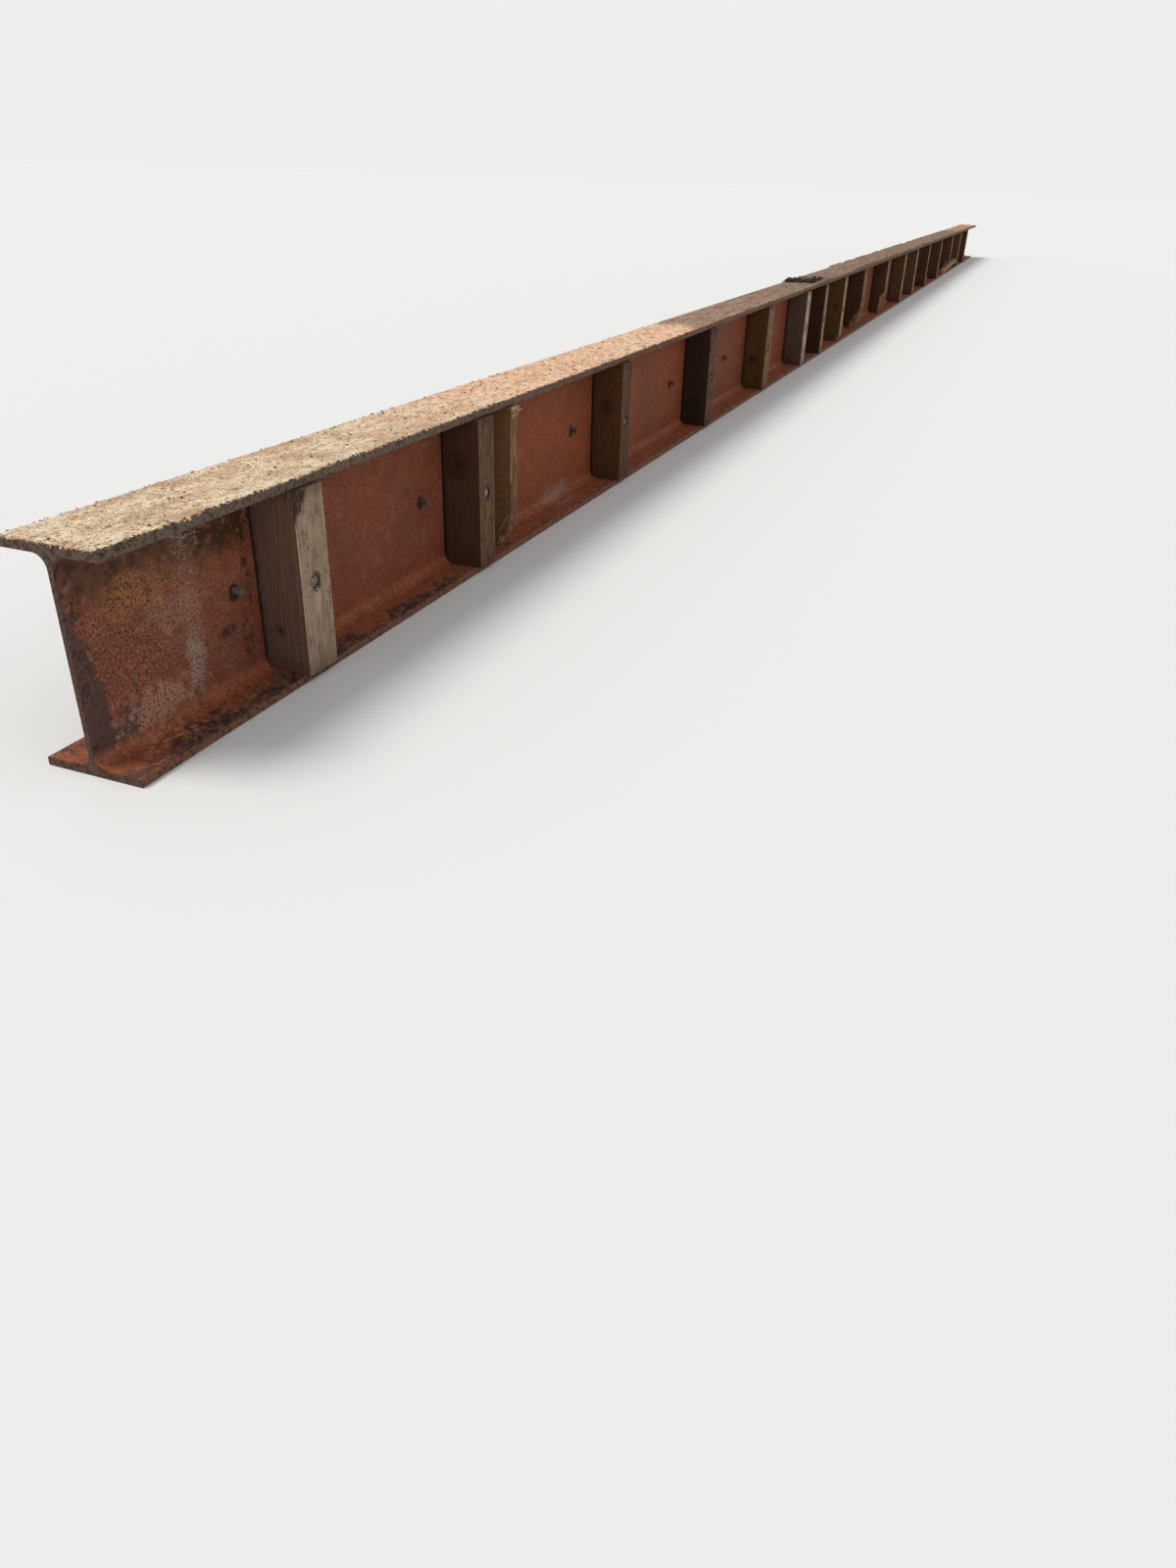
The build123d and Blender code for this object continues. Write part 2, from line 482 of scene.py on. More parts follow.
def lay_shade_and_rust_under_flange():
    # The web is darker under the top flange, which is painted shade of the flange. Rust flakes lie in
    # it.
    uneven = steel.math("MULTIPLY_ADD", steel.clouds, 0.06, steel.up)
    zone = steel.both(steel.ramp(steel.along, 0.36, 0.28), steel.ramp(uneven, 0.190, 0.215))
    steel.lay(zone, UNDER_FLANGE_SHADE, 0.85)
    steel.lay_in(zone, (steel.flakes(0.51, 0.55), SCORCHED, 0.8),
                 (steel.flakes(0.43, 0.39), PRIMER_PINK, 0.35))
    # The corner beside the first post gets the darkest painted shade.
    corner = steel.mark((0.235, -0.006, 0.205), (0.060, 0.03, 0.030), 0.9, 60.0)
    steel.lay(corner, CORNER_SHADE, 0.8)
    steel.lay_in(corner, (steel.flakes(0.47, 0.42), OCHRE, 0.45))


lay_shade_and_rust_under_flange()
print("dirt under the flange laid,", steel.how_many(), "nodes")

# %% [markdown]
# ## The ochre patch and the dusty ones
#
# A patch ten centimetres long has gone ochre, with rust flakes and black specks in it. Two pinkish
# ones below it are dry dust. Each is one mark with a very ragged rim. The specks are laid again
# inside it, because its colour has covered those of the primer.

# %% Patches
PINK_DUST = rgb(0.40, 0.205, 0.140)
DUSTY_PATCHES = ((on_web(0.090, 0.034, 0.065, 0.024), 0.85),
                 (on_web(0.145, 0.128, 0.040, 0.020), 0.35))


def lay_patches():
    patch = steel.mark(*on_web(0.096, 0.166, 0.052, 0.022), 1.1, 60.0, 0.3)
    steel.lay(patch, OCHRE, 0.85)
    steel.lay_in(patch, (steel.flakes(0.50, 0.54), RUST_BROWN, 0.6),
                 (steel.specks(340.0, 0.51, 0.56, 3.0), SPECK, 0.8))
    for shape, strength in DUSTY_PATCHES:
        dusty = steel.mark(*shape, 1.6, 50.0, 0.4)
        steel.lay(dusty, PINK_DUST, strength)
        steel.lay_in(dusty, (steel.specks(340.0, 0.53, 0.57, 3.0), SPECK, 0.8))


lay_patches()
print("patches laid,", steel.how_many(), "nodes")

# %% [markdown]
# ## The chalky streak
#
# Something white ran down the web here. It left a streak of dots that is strongest at its foot,
# and whitish smears at its top, where the web meets the flange. A streak in one flat colour would
# look painted on. So the dots are the peaks of a fine noise inside a tall narrow mark, and the
# smears are a noise that is squeezed sixfold in height.

# %% Streak
STREAK_AT = 0.167


def lay_streak():
    dots = steel.noise(steel.spot, 480.0, 5.0, 0.7)
    streak = steel.mark(*on_web(STREAK_AT, 0.125, 0.016, 0.080), 1.3, 70.0, 0.5)
    steel.lay(streak, PRIMER_PINK, 0.15)
    steel.lay_in(streak, (steel.ramp(dots, 0.56, 0.60), CHALK, 0.7))
    foot = steel.mark(*on_web(STREAK_AT, 0.062, 0.012, 0.028), 1.3, 80.0, 0.7)
    steel.lay_in(foot, (steel.ramp(dots, 0.45, 0.53), CHALK, 0.9))
    smears = steel.ramp(steel.noise(steel.stretched(60.0, 60.0, 360.0), 1.0, 4.0, 0.7), 0.50, 0.60)
    scuff = steel.mark((0.176, -0.012, 0.207), (0.032, 0.02, 0.020), 0.8, 60.0)
    steel.lay(steel.both(scuff, smears, steel.ramp(dots, 0.42, 0.50)), CHALK, 0.9)


lay_streak()
print("streak laid,", steel.how_many(), "nodes")

# %% [markdown]
# ## Flecks beside the first post, and the bolts' holes
#
# Dark flecks lie low down beside the first post and where it meets the web. The bolts of the hidden
# side end on the side in view. Each end has a dark spot round it, the dark gap of its hole with
# painted shade in and beside it, and a rusty smear beside it. Only the first six can be told apart,
# so only they are given both. Their places are those of the posts behind, which the bolts belong to.

# %% Flecks and holes
FLECKED = (on_web(0.222, 0.079, 0.016, 0.006), on_web(0.256, 0.062, 0.010, 0.030),
           on_web(0.266, 0.140, 0.007, 0.060))
HOLES_IN_VIEW = 6


def lay_flecks():
    for shape in FLECKED:
        steel.lay_in(steel.mark(*shape, 1.2, 150.0, 0.5), (steel.flakes(0.48, 0.52), SPECK, 0.85))


def lay_holes():
    bolt_up = TOP / 2
    for name in back_posts[:HOLES_IN_VIEW]:
        middle, _ = post_middle(name)
        smear = steel.blot(*on_web(middle + 0.012, bolt_up - 0.006, 0.014, 0.012), 1.2, 120.0)
        steel.lay(smear, RUST_BROWN, 0.75)
        # A dark spot round the bolt's end, a little to one side: the gap of its hole and painted
        # shade.
        hole = steel.blot(*on_web(middle - 0.0030, bolt_up - 0.002, 0.0085, 0.0105), 0.4, 200.0, 0.2)
        steel.lay(hole, SPECK, 0.95)


lay_flecks()
lay_holes()
print("flecks and", HOLES_IN_VIEW, "holes laid,", steel.how_many(), "nodes")

# %% [markdown]
# ## The bare strip
#
# Along the cut end the paint has gone. The bare strip is a few millimetres wide at the top and
# three centimetres at the foot, and its rim is flaky. A blot has the wrong outline for it. So its
# width is a ramp on the height, the flaky noise is added to that, and where the sum is more than
# the distance from the end, purple-brown steel shows.

# %% Bare strip
BARE_STEEL = rgb(0.078, 0.044, 0.040)


def lay_bare_strip():
    """Returns where the strip is, because the paint's edge is a step in the relief."""
    width = steel.ramp(steel.up, 0.195, 0.060, 0.006, 0.031)
    wobble = steel.math("MULTIPLY_ADD", steel.flaky, 0.050, -0.025)
    inside = steel.math("SUBTRACT", steel.math("ADD", width, wobble), steel.along)
    bare = steel.both(steel.ramp(inside, -0.0006, 0.0006), steel.ramp(steel.up, 0.19, 0.165))
    steel.lay(bare, BARE_STEEL, 0.95)
    steel.lay_in(bare, (steel.specks(220.0, 0.5, 0.62), RUST_BROWN, 0.45))
    beside = steel.blot(*on_web(0.052, 0.032, 0.022, 0.022), 1.6, 60.0, 0.15)
    steel.lay_in(beside, (steel.flakes(0.47, 0.50), BARE_STEEL, 0.85))
    steel.lay_in(steel.ramp(steel.along, 0.03, 0.008), (steel.specks(190.0, 0.56, 0.6), SPECK, 0.8))
    return bare


bare_strip = lay_bare_strip()
print("bare strip laid,", steel.how_many(), "nodes")

# %% [markdown]
# ## The lower flange
#
# The lower flange is more orange than the web, and its outer strip has lost its paint in ragged
# patches. A share that grows outwards is added to the flaky noise before it is cut off, so the
# patches join up towards the edge. Five larger worn places follow, each one blot.

# %% Lower flange
FLANGE_ORANGE = rgb(0.33, 0.092, 0.040)
WORN_PLACES = ((0.07, 0.185, 0.026), (0.20, 0.30, 0.020), (0.335, 0.43, 0.020), (0.50, 0.60, 0.018),
               (0.62, 0.68, 0.014))


def lay_lower_flange():
    lower = steel.both(steel.ramp(steel.up, 0.028, 0.014), steel.ramp(steel.up, 0.002, 0.006))
    steel.lay(lower, FLANGE_ORANGE, 0.85)
    steel.lay_in(lower, (steel.flakes(0.51, 0.56), RUST_BROWN, 0.55),
                 (steel.flakes(0.47, 0.42), PRIMER_PINK, 0.55),
                 (steel.specks(430.0, 0.55, 0.60, 3.0), SPECK, 0.7))
    outer = steel.ramp(steel.size_of(steel.out), 0.030, 0.052)
    torn = steel.math("MULTIPLY_ADD", outer, 0.10, steel.flaky)
    torn = steel.math("MULTIPLY_ADD", steel.ramp(steel.wide, 0.35, 0.65), 0.05, torn)
    worn_strip = steel.both(lower, outer, steel.ramp(torn, 0.615, 0.625))
    steel.lay_in(worn_strip, (steel.ramp(steel.along, 1.0, 0.4, 0.25, 1.0), BARE_STEEL, 0.9))


def lay_worn_places():
    """Each place is given by its start, its end and how far it reaches in from the edge."""
    for start, end, reach in WORN_PLACES:
        centre = ((start + end) / 2, -HALF_WIDTH + 0.008, FLANGE)
        worn = steel.blot(centre, ((end - start) / 2, reach, 0.004), 1.4, 50.0, 0.08)
        steel.lay(worn, BARE_STEEL, 0.85)
        steel.lay_in(worn, (steel.flakes(0.50, 0.53), SPECK, 0.7),
                     (steel.flakes(0.46, 0.44), PRIMER_PINK, 0.5))


lay_lower_flange()
lay_worn_places()
print("lower flange laid,", steel.how_many(), "nodes")

# %% [markdown]
# ## Scratches and dust on the lower flange
#
# Between the second post and the third something was dragged along the flange and left fine pale
# scratches. Drawn one by one they would all be alike. A noise that is drawn out along the beam gives
# as many as fit in a blot. Rubbed flakes, crumbs of mortar and a haze of dust lie at other places.

# %% Scratches
RUBBED = rgb(0.44, 0.200, 0.120)
HAZE = rgb(0.32, 0.22, 0.19)


def lay_scratches():
    scratches = steel.ramp(steel.noise(steel.stretched(35.0, 260.0, 120.0), 1.0, 2.0), 0.62, 0.68)
    scraped = steel.blot((1.12, -0.035, FLANGE), (0.12, 0.03, 0.03), 0.4, 30.0)
    steel.lay_in(scraped, (scratches, CHALK, 0.7))
    rubbed = steel.blot((0.095, -0.026, 0.012), (0.060, 0.014, 0.010), 1.2, 60.0, 0.3)
    steel.lay_in(rubbed, (steel.flakes(0.52, 0.45), RUBBED, 0.75))
    mortar = steel.blot((0.225, -0.034, FLANGE), (0.035, 0.012, 0.008), 0.8, 80.0)
    steel.lay_in(mortar, (scratches, CHALK, 0.8))
    haze = steel.blot((1.165, -0.006, 0.022), (0.050, 0.03, 0.014), 1.5, 45.0, 0.6)
    steel.lay(haze, HAZE, 0.4)


lay_scratches()
print("scratches laid,", steel.how_many(), "nodes")

# %% [markdown]
# ## Rolled edges and the cut face
#
# The flanges' edges carry mill scale and dirt and aren't painted, nor is the top flange's underside
# near the end. The cut face is dark brown, and greyer at the top. The edges are found by their
# distance from the middle of the beam, and the cut face by the way it faces, which needs no place
# at all and works for both ends. The same noises that drew the colours then lift the surface, so a
# pit is dark and deep at once.

# %% Edges, cut face and relief
EDGE_GREY = rgb(0.125, 0.093, 0.068)
EDGE_BROWN = rgb(0.125, 0.060, 0.032)
LOWER_EDGE = rgb(0.17, 0.082, 0.048)
CUT_BROWN = rgb(0.105, 0.054, 0.038)
CUT_PITS = rgb(0.045, 0.026, 0.022)


def lay_edges():
    edge = steel.ramp(steel.size_of(steel.out), HALF_WIDTH - 0.0016, HALF_WIDTH - 0.0006)
    upper = steel.mix(steel.ramp(steel.along, 0.4, 1.6), EDGE_GREY, EDGE_BROWN)
    steel.lay_in(edge, (steel.ramp(steel.up, 0.2, 0.22), upper, 0.9),
                 (steel.ramp(steel.up, 0.03, 0.01), LOWER_EDGE, 0.85),
                 (steel.specks(180.0, 0.5, 0.62), SPECK, 0.7))
    beneath = steel.both(steel.ramp(steel.up, 0.218, 0.226), steel.ramp(steel.facing_z, -0.3, -0.7))
    steel.lay_in(beneath, (steel.ramp(steel.along, 0.3, 0.12), EDGE_GREY, 0.7))


def lay_cut_face():
    cut = steel.ramp(steel.size_of(steel.facing_x), 0.6, 0.8)
    steel.lay(cut, CUT_BROWN)
    steel.lay_in(cut, (steel.ramp(steel.up, 0.20, 0.225), EDGE_GREY, 0.6),
                 (steel.specks(160.0, 0.46, 0.58, 5.0), CUT_PITS, 0.8))


lay_edges()
lay_cut_face()
relief = steel.math("MULTIPLY_ADD", steel.flaky, 0.8, steel.fine)
relief = steel.math("MULTIPLY_ADD", steel.clouds, 0.5, relief)
relief = steel.math("MULTIPLY_ADD", bare_strip, -0.5, relief)
dull = steel.ramp(steel.clouds, 0.3, 0.7, 0.55, 0.78)
dress("i_beam", steel.finish(dull, relief, 0.0009, shine=0.12))
print("steel finish with", steel.how_many(), "nodes")

# %% [markdown]
# ## Old sawn timber
#
# Each packer was sawn from another board, so each one has its own finish: a colour for the sides,
# which is darkened with painted shade, a lighter weathered colour for the outer face, its own growth
# rings and its own knots. The rings are circles about a pith that lies somewhere near the post. Where
# they meet a face they draw the lines of the grain, which run upwards because the timber was cut
# along the trunk. A flat wood pattern on each face would be simpler, but its lines wouldn't meet at
# the arrises.

# %% Timber's growth
RING = 0.0032
UPWARDS = (1.0, 1.0, 0.045)
ACROSS = (1.0, 0.1, 1.0)
PITH_SPREAD = 0.05
OUTER_FROM, OUTER_FULLY = 0.55, 0.8


class Timber(Finish):
    """One piece of timber. Middle is its place along the beam, and half is half its width. A turned
    board has its grain, or its saw marks, across and not upwards. Plain timber shows less of its
    figure."""

    def __init__(self, name, middle, half, side, face, turned=False, plain=1.0):
        super().__init__(name)
        self.middle, self.half, self.side, self.plain = middle, half, side, plain
        self.darker = tuple(0.5 * channel for channel in side[:3]) + (1.0,)
        self.lighter = tuple(min(1.0, 1.45 * channel) for channel in face[:3]) + (1.0,)
        grain_place = self.stretched(*(ACROSS if turned else UPWARDS))
        self.rings = self.growth_rings(random.Random(name), grain_place, turned)
        self.fibres = self.noise(grain_place, 520.0, 3.0, 0.7)
        self.stains = self.noise(grain_place, 30.0, 5.0, 0.6)
        self.outer = self.ramp(self.size_of(self.facing_y), OUTER_FROM, OUTER_FULLY)
        # The sides' colour is darkened with painted shade; the outer face's colour isn't.
        self.colour = self.mix(self.outer, side, face)

    def growth_rings(self, dice, grain_place, turned):
        """Waves of the distance from the pith, which leans a little and isn't quite straight."""
        pith = (self.middle + dice.uniform(-PITH_SPREAD, PITH_SPREAD),
                dice.uniform(-PITH_SPREAD, PITH_SPREAD), 0.0)
        lean_x = self.math("MULTIPLY", self.up, dice.uniform(-PITH_SPREAD, PITH_SPREAD))
        lean_y = self.math("MULTIPLY", self.up, dice.uniform(-PITH_SPREAD, PITH_SPREAD))
        axis = self.add("ShaderNodeCombineXYZ", {0: lean_x, 1: lean_y, 2: self.up})
        from_pith = self.vector("SUBTRACT", self.spot, self.vector("ADD", axis, pith))
        sway = self.math("MULTIPLY", self.noise(grain_place, 26.0, 3.0), 0.007)
        radius = self.math("ADD", self.vector("LENGTH", from_pith, out=1), sway)
        if turned:
            radius = self.math("ADD", self.up, self.math("MULTIPLY", sway, 0.5))
        waves = self.math("SINE", self.math("MULTIPLY", radius, 2 * math.pi / RING))
        return self.ramp(waves, -1.0, 1.0)


list_methods(Timber)
print("growth rings", RING * 1000, "mm apart")

# %% [markdown]
# ## The timber's figure
#
# Sawn timber shows fine dark fibres, soft rings and broad stains, and its outer face has weathered
# pale in some places and dark in others. All are drawn upwards with the grain. Two colours would be
# enough for a clean board. Here every layer is the side's colour darkened, or the face's colour
# made lighter, which keeps each post's own hue through all its stains.

# %% Figure
def lay_figure(wood):
    wood.lay(wood.ramp(wood.fibres, 0.46, 0.64), wood.darker, 0.55 * wood.plain)
    wood.lay(wood.rings, wood.darker, 0.22 * wood.plain)
    wood.lay(wood.ramp(wood.stains, 0.52, 0.72), wood.darker, 0.5 * wood.plain)
    wood.lay_in(wood.outer, (wood.ramp(wood.fibres, 0.50, 0.38), wood.lighter, 0.35))
    wood.lay(wood.specks(190.0, 0.58, 0.66, 4.0), wood.darker, 0.5)


def lay_weathering(wood):
    patchy = wood.noise(wood.stretched(1.0, 1.0, 0.5), 60.0, 4.0, 0.6)
    wood.lay_in(wood.outer, (wood.ramp(patchy, 0.52, 0.60), wood.lighter, 0.45 * wood.plain),
                (wood.ramp(patchy, 0.47, 0.40), wood.darker, 0.55 * wood.plain))


timber_layers = [lay_figure, lay_weathering]
print(len(timber_layers), "layers so far")

# %% [markdown]
# ## Wear on the timber
#
# The arrises of the outer face are rubbed light, with a ragged inner border. The timber is darker at
# its foot and next to the web, and at its head, under the top flange, it is darker with painted shade.
# A dark line of dirt fills the seam where it leans on the web. Where a post is broken, the torn wood
# is darker than its sides and shows its fibres. Torn faces slant, which no sawn face does, so the way
# they face picks them out.

# %% Wear
RUBBED_FIBRE = rgb(0.42, 0.29, 0.20)
SEAM_DIRT = rgb(0.012, 0.008, 0.006)


def lay_rubbed_arrises(wood):
    from_middle = wood.size_of(wood.math("SUBTRACT", wood.along, wood.middle))
    border = wood.math("MULTIPLY_ADD", wood.noise(wood.spot, 75.0), 0.014, wood.half - 0.0095)
    rubbed = wood.ramp(from_middle, border, wood.math("ADD", border, 0.0012))
    rubbed = wood.both(wood.outer, rubbed)
    wood.lay(rubbed, wood.lighter, 0.5)
    wood.lay_in(rubbed, (wood.ramp(wood.fibres, 0.46, 0.38), RUBBED_FIBRE, 0.5))


def lay_seam_and_painted_shade(wood):
    from_web = wood.size_of(wood.out)
    # Darker towards the foot, and next to the web.
    wood.lay(wood.ramp(wood.up, 0.045, 0.012), wood.darker, 0.4)
    wood.lay(wood.ramp(from_web, 0.017, 0.006), wood.darker, 0.7)
    seam = wood.math("MULTIPLY_ADD", wood.noise(wood.spot, 90.0), 0.006, 0.0015)
    wood.lay(wood.ramp(wood.math("SUBTRACT", from_web, seam), 0.0032, 0.0018), SEAM_DIRT, 0.85)
    # Under the top flange the post's head is darker, which is painted shade of the flange.
    wood.lay(wood.ramp(wood.up, 0.212, 0.226), wood.darker, 0.5)


def lay_torn_wood(wood):
    torn = wood.both(wood.ramp(wood.size_of(wood.facing_z), 0.08, 0.14),
                     wood.ramp(wood.size_of(wood.facing_y), 0.08, 0.14),
                     wood.ramp(wood.size_of(wood.out), 0.020, 0.026))
    wood.lay(torn, wood.darker, 0.75)
    wood.lay_in(torn, (wood.ramp(wood.fibres, 0.50, 0.42), wood.side, 0.9))


timber_layers += [lay_rubbed_arrises, lay_seam_and_painted_shade, lay_torn_wood]
print(len(timber_layers), "layers so far")

# %% [markdown]
# ## Knots, and the recess of the bolt
#
# A knot is a dark oval with a nearly black heart. The bolt's recess is ringed with painted shade,
# which is taller than wide, and a pale smear runs down from it. A ring of even width would look like a
# washer, so noise is added to its distance from the bolt, as in every blot.

# %% Knots and recesses
KNOT_HEART = rgb(0.02, 0.012, 0.008)
RECESS_SHADE = rgb(0.03, 0.02, 0.014)


def lay_knots(wood, knots):
    for (along, out, up), size in knots:
        place = (wood.middle + along, out, up)
        oval = (size * 1.5, size * 1.5, size * 1.8)
        wood.lay(wood.blot(place, oval, 0.25, 60.0, 0.35), wood.darker, 0.8)
        heart = (size * 0.6, size * 0.6, size * 0.7)
        wood.lay(wood.blot(place, heart, 0.25, 90.0, 0.2), KNOT_HEART, 0.8)


def lay_recess(wood):
    from_bolt = wood.vector("SUBTRACT", wood.spot, (wood.middle, 0.0, TOP / 2))
    ring = wood.vector("LENGTH", wood.vector("MULTIPLY", from_bolt, (1.0, 0.0, 0.75)), out=1)
    ring = wood.math("MULTIPLY_ADD", wood.noise(wood.spot, 160.0), 0.005, ring)
    # A ring of painted shade round the bolt's recess.
    wood.lay_in(wood.outer, (wood.ramp(ring, 0.0135, 0.0100), RECESS_SHADE, 0.7))
    smear_at = (wood.middle + 0.002, -PACKER_FACE, TOP / 2 - 0.025)
    wood.lay(wood.blot(smear_at, (0.005, 0.01, 0.020), 0.9, 90.0), wood.lighter, 0.5)


def timber_finish(name, middle, half, side, face, knots=(), recess=True, turned=False, plain=1.0):
    wood = Timber(name, middle, half, side, face, turned, plain)
    for lay_layer in timber_layers:
        lay_layer(wood)
    lay_knots(wood, knots)
    if recess:
        lay_recess(wood)
    relief = wood.math("MULTIPLY_ADD", wood.rings, -0.35, wood.math("MULTIPLY", wood.fibres, -1.0))
    return wood.finish(wood.ramp(wood.stains, 0.3, 0.7, 0.78, 0.92), relief, 0.0012)


print("timber finish ready, with knots, and a recess half way up at", round(TOP / 2, 3), "m")

# %% [markdown]
# ## A finish for every post
#
# The first eight posts in view are near enough to tell apart, so their colours and knots are
# written down. The others are seen only as dark sides and tan faces. Their colours are drawn
# between two ends by a seeded choice, so the row looks uneven and comes out the same each time.

# %% Posts
# Each post has a colour for its sides, darkened with painted shade, then one for its outer face, then
# its knots.
NEAR_POSTS = (
    (rgb(0.165, 0.092, 0.062), rgb(0.31, 0.220, 0.150), (((-0.03, -0.030, 0.062), 0.005),)),
    (rgb(0.090, 0.040, 0.019), rgb(0.125, 0.067, 0.034), (((-0.02, -0.032, 0.163), 0.013),)),
    (rgb(0.110, 0.042, 0.014), rgb(0.085, 0.042, 0.021), (((-0.03, -0.036, 0.150), 0.010),)),
    (rgb(0.040, 0.017, 0.009), rgb(0.105, 0.052, 0.027), (((-0.03, -0.030, 0.060), 0.012),)),
    (rgb(0.108, 0.047, 0.015), rgb(0.19, 0.105, 0.052), (((-0.03, -0.030, 0.090), 0.009),)),
    (rgb(0.118, 0.068, 0.045), rgb(0.40, 0.295, 0.230), ()),
    (rgb(0.052, 0.021, 0.008), rgb(0.28, 0.155, 0.085), ()),
    (rgb(0.110, 0.052, 0.020), rgb(0.32, 0.190, 0.090), (((-0.03, -0.040, 0.130), 0.008),)),
)
# The dark and the pale end for the other posts; the sides' colours in them are darkened with painted
# shade.
DARK_POST = (Vector((0.062, 0.027, 0.010)), Vector((0.20, 0.110, 0.055)))
PALE_POST = (Vector((0.140, 0.072, 0.032)), Vector((0.40, 0.250, 0.135)))


def dress_posts(names, known):
    """Known gives the colours of the sides and of the outer face, and the knots."""
    for number, name in enumerate(names):
        dice = random.Random(name)
        middle, half = post_middle(name)
        if number < len(known):
            side, face, knots = known[number]
        else:
            share = dice.random()
            side, face = (rgb(*dark.lerp(pale, share)) for dark, pale in zip(DARK_POST, PALE_POST))
            knots = (((dice.uniform(-0.03, 0.03), -0.03, dice.uniform(0.05, 0.2)), 0.009),)
        dress(name, timber_finish(name + "_timber", middle, half, side, face, knots,
                                  plain=0.55 if name == front_posts[0] else 1.0))


dress_posts(front_posts, NEAR_POSTS)
dress_posts(back_posts, ())
print("posts dressed:", len(front_posts) + len(back_posts))

# %% [markdown]
# ## The board and the stick
#
# A thin board stands across the channel beyond the second post. Its saw marks run across it, so
# its grain is turned. A loose stick near the far end is newer wood and paler. Both take the timber
# finish of the posts, because they are the same stuff, but neither has a recess. The stick's rings
# are drawn about a place just past its end, and its half width is given so large that no arris of
# it counts as rubbed.

# %% Board and stick
STICK_RINGS_ABOUT = 8.6
STICK_HALF = 2.0
board_middle, board_half = post_middle("broken_board")
dress("broken_board", timber_finish("board_timber", board_middle, board_half,
      rgb(0.235, 0.115, 0.050), rgb(0.15, 0.070, 0.040), recess=False, turned=True))
dress("loose_stick", timber_finish("stick_timber", STICK_RINGS_ABOUT, STICK_HALF,
      rgb(0.34, 0.215, 0.13), rgb(0.40, 0.27, 0.17), recess=False))
print("board at", round(board_middle, 3), "m from the near end, the stick's rings about",
      STICK_RINGS_ABOUT, "m")

# %% [markdown]
# ## Running Geometry Nodes from a script
#
# Many of the beam's small forms follow one rule each: crumbs lie on a surface, lumps cling along an
# edge, a bolt stands at every post. Geometry Nodes say such a rule once, where a script alone would
# have to build every copy's mesh. This helper sets a tree up with named inputs, so that one rule
# can be run with other sizes, shapes and materials.

# %% Rule helper
class Rule(Tree):
    """A Geometry Nodes tree with named inputs."""

    KINDS = {"float": "NodeSocketFloat", "int": "NodeSocketInt", "object": "NodeSocketObject",
             "material": "NodeSocketMaterial", "geometry": "NodeSocketGeometry"}

    def __init__(self, name, **inputs):
        super().__init__(bpy.data.node_groups.new(name, "GeometryNodeTree"))
        for key, kind in {"Geometry": "geometry", **inputs}.items():
            self.tree.interface.new_socket(key, in_out="INPUT", socket_type=self.KINDS[kind])
        self.tree.interface.new_socket("Geometry", in_out="OUTPUT", socket_type="NodeSocketGeometry")
        self.given = self.tree.nodes.new("NodeGroupInput").outputs

    def named(self, name, kind="FLOAT"):
        """A value that each point of the base mesh carries."""
        return self.add("GeometryNodeInputNamedAttribute", {"Name": name}, data_type=kind)

    def shape(self, key):
        """The mesh of an object that is given as an input."""
        return self.add("GeometryNodeObjectInfo", {"Object": self.given[key]}, "Geometry")

    def push(self, scale):
        """A vector of noise about zero, which roughens a shape."""
        noise = self.add("ShaderNodeTexNoise", {"Scale": scale}, 1)
        return self.vector("SUBTRACT", noise, (0.5, 0.5, 0.5))

    def close(self, geometry):
        """Makes instances real, gives them the material, and ends the tree."""
        real = self.add("GeometryNodeRealizeInstances", {0: geometry})
        done = self.add("GeometryNodeSetMaterial", {0: real, "Material": self.given["Material"]})
        self.end("NodeGroupOutput", Geometry=done)
        return self.tree


list_methods(Rule)

# %% [markdown]
# ## From a rule to a piece
#
# A modifier runs the rule on a base mesh. It could stay on the piece, but another program wouldn't
# know it. So the result is kept as a plain mesh, and the modifier is taken off again. The piece is
# then named and rides on the beam's body.

# %% Run a rule
BODY = "root"


def run_rule(name, rule, base, slot, **values):
    """Runs a tree on a base mesh and keeps the result as a plain piece that rides on the beam."""
    piece = bpy.data.objects.new(name, base)
    bpy.context.scene.collection.objects.link(piece)
    modifier = piece.modifiers.new("rule", "NODES")
    modifier.node_group = rule
    for item in rule.interface.items_tree:
        if item.in_out == "INPUT" and item.name in values:
            modifier[item.identifier] = values[item.name]
    graph = bpy.context.evaluated_depsgraph_get()
    made = bpy.data.meshes.new_from_object(piece.evaluated_get(graph))
    piece.modifiers.remove(modifier)
    piece.data = made
    made.name = name
    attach(piece, BODY)
    print(name, "has", sum(len(face.vertices) - 2 for face in made.polygons), "triangles")
    return piece


print("pieces will ride on", BODY)

# %% [markdown]
# ## The crust on the top flange
#
# The top flange carries a sandy crust of mortar, dust and rust, a millimetre or two thick, with
# grains and pits. A grid laid over the flange and moved by noise gives it a real relief, which bump
# alone can't: the crust's edge is seen from the side. Cells of one size would waste most of their
# triangles far away. So they are 2.5 mm long beside the camera and grow with the distance.

# %% Places on the crust
CRUST_LENGTH_CELLS = 700
CRUST_WIDTH_CELLS = 44
CELL = 0.0026
CELL_GROWTH = 0.0042
CRUST_STEPS = math.log(1.0 + CELL_GROWTH * (FAR - NEAR) / CELL)


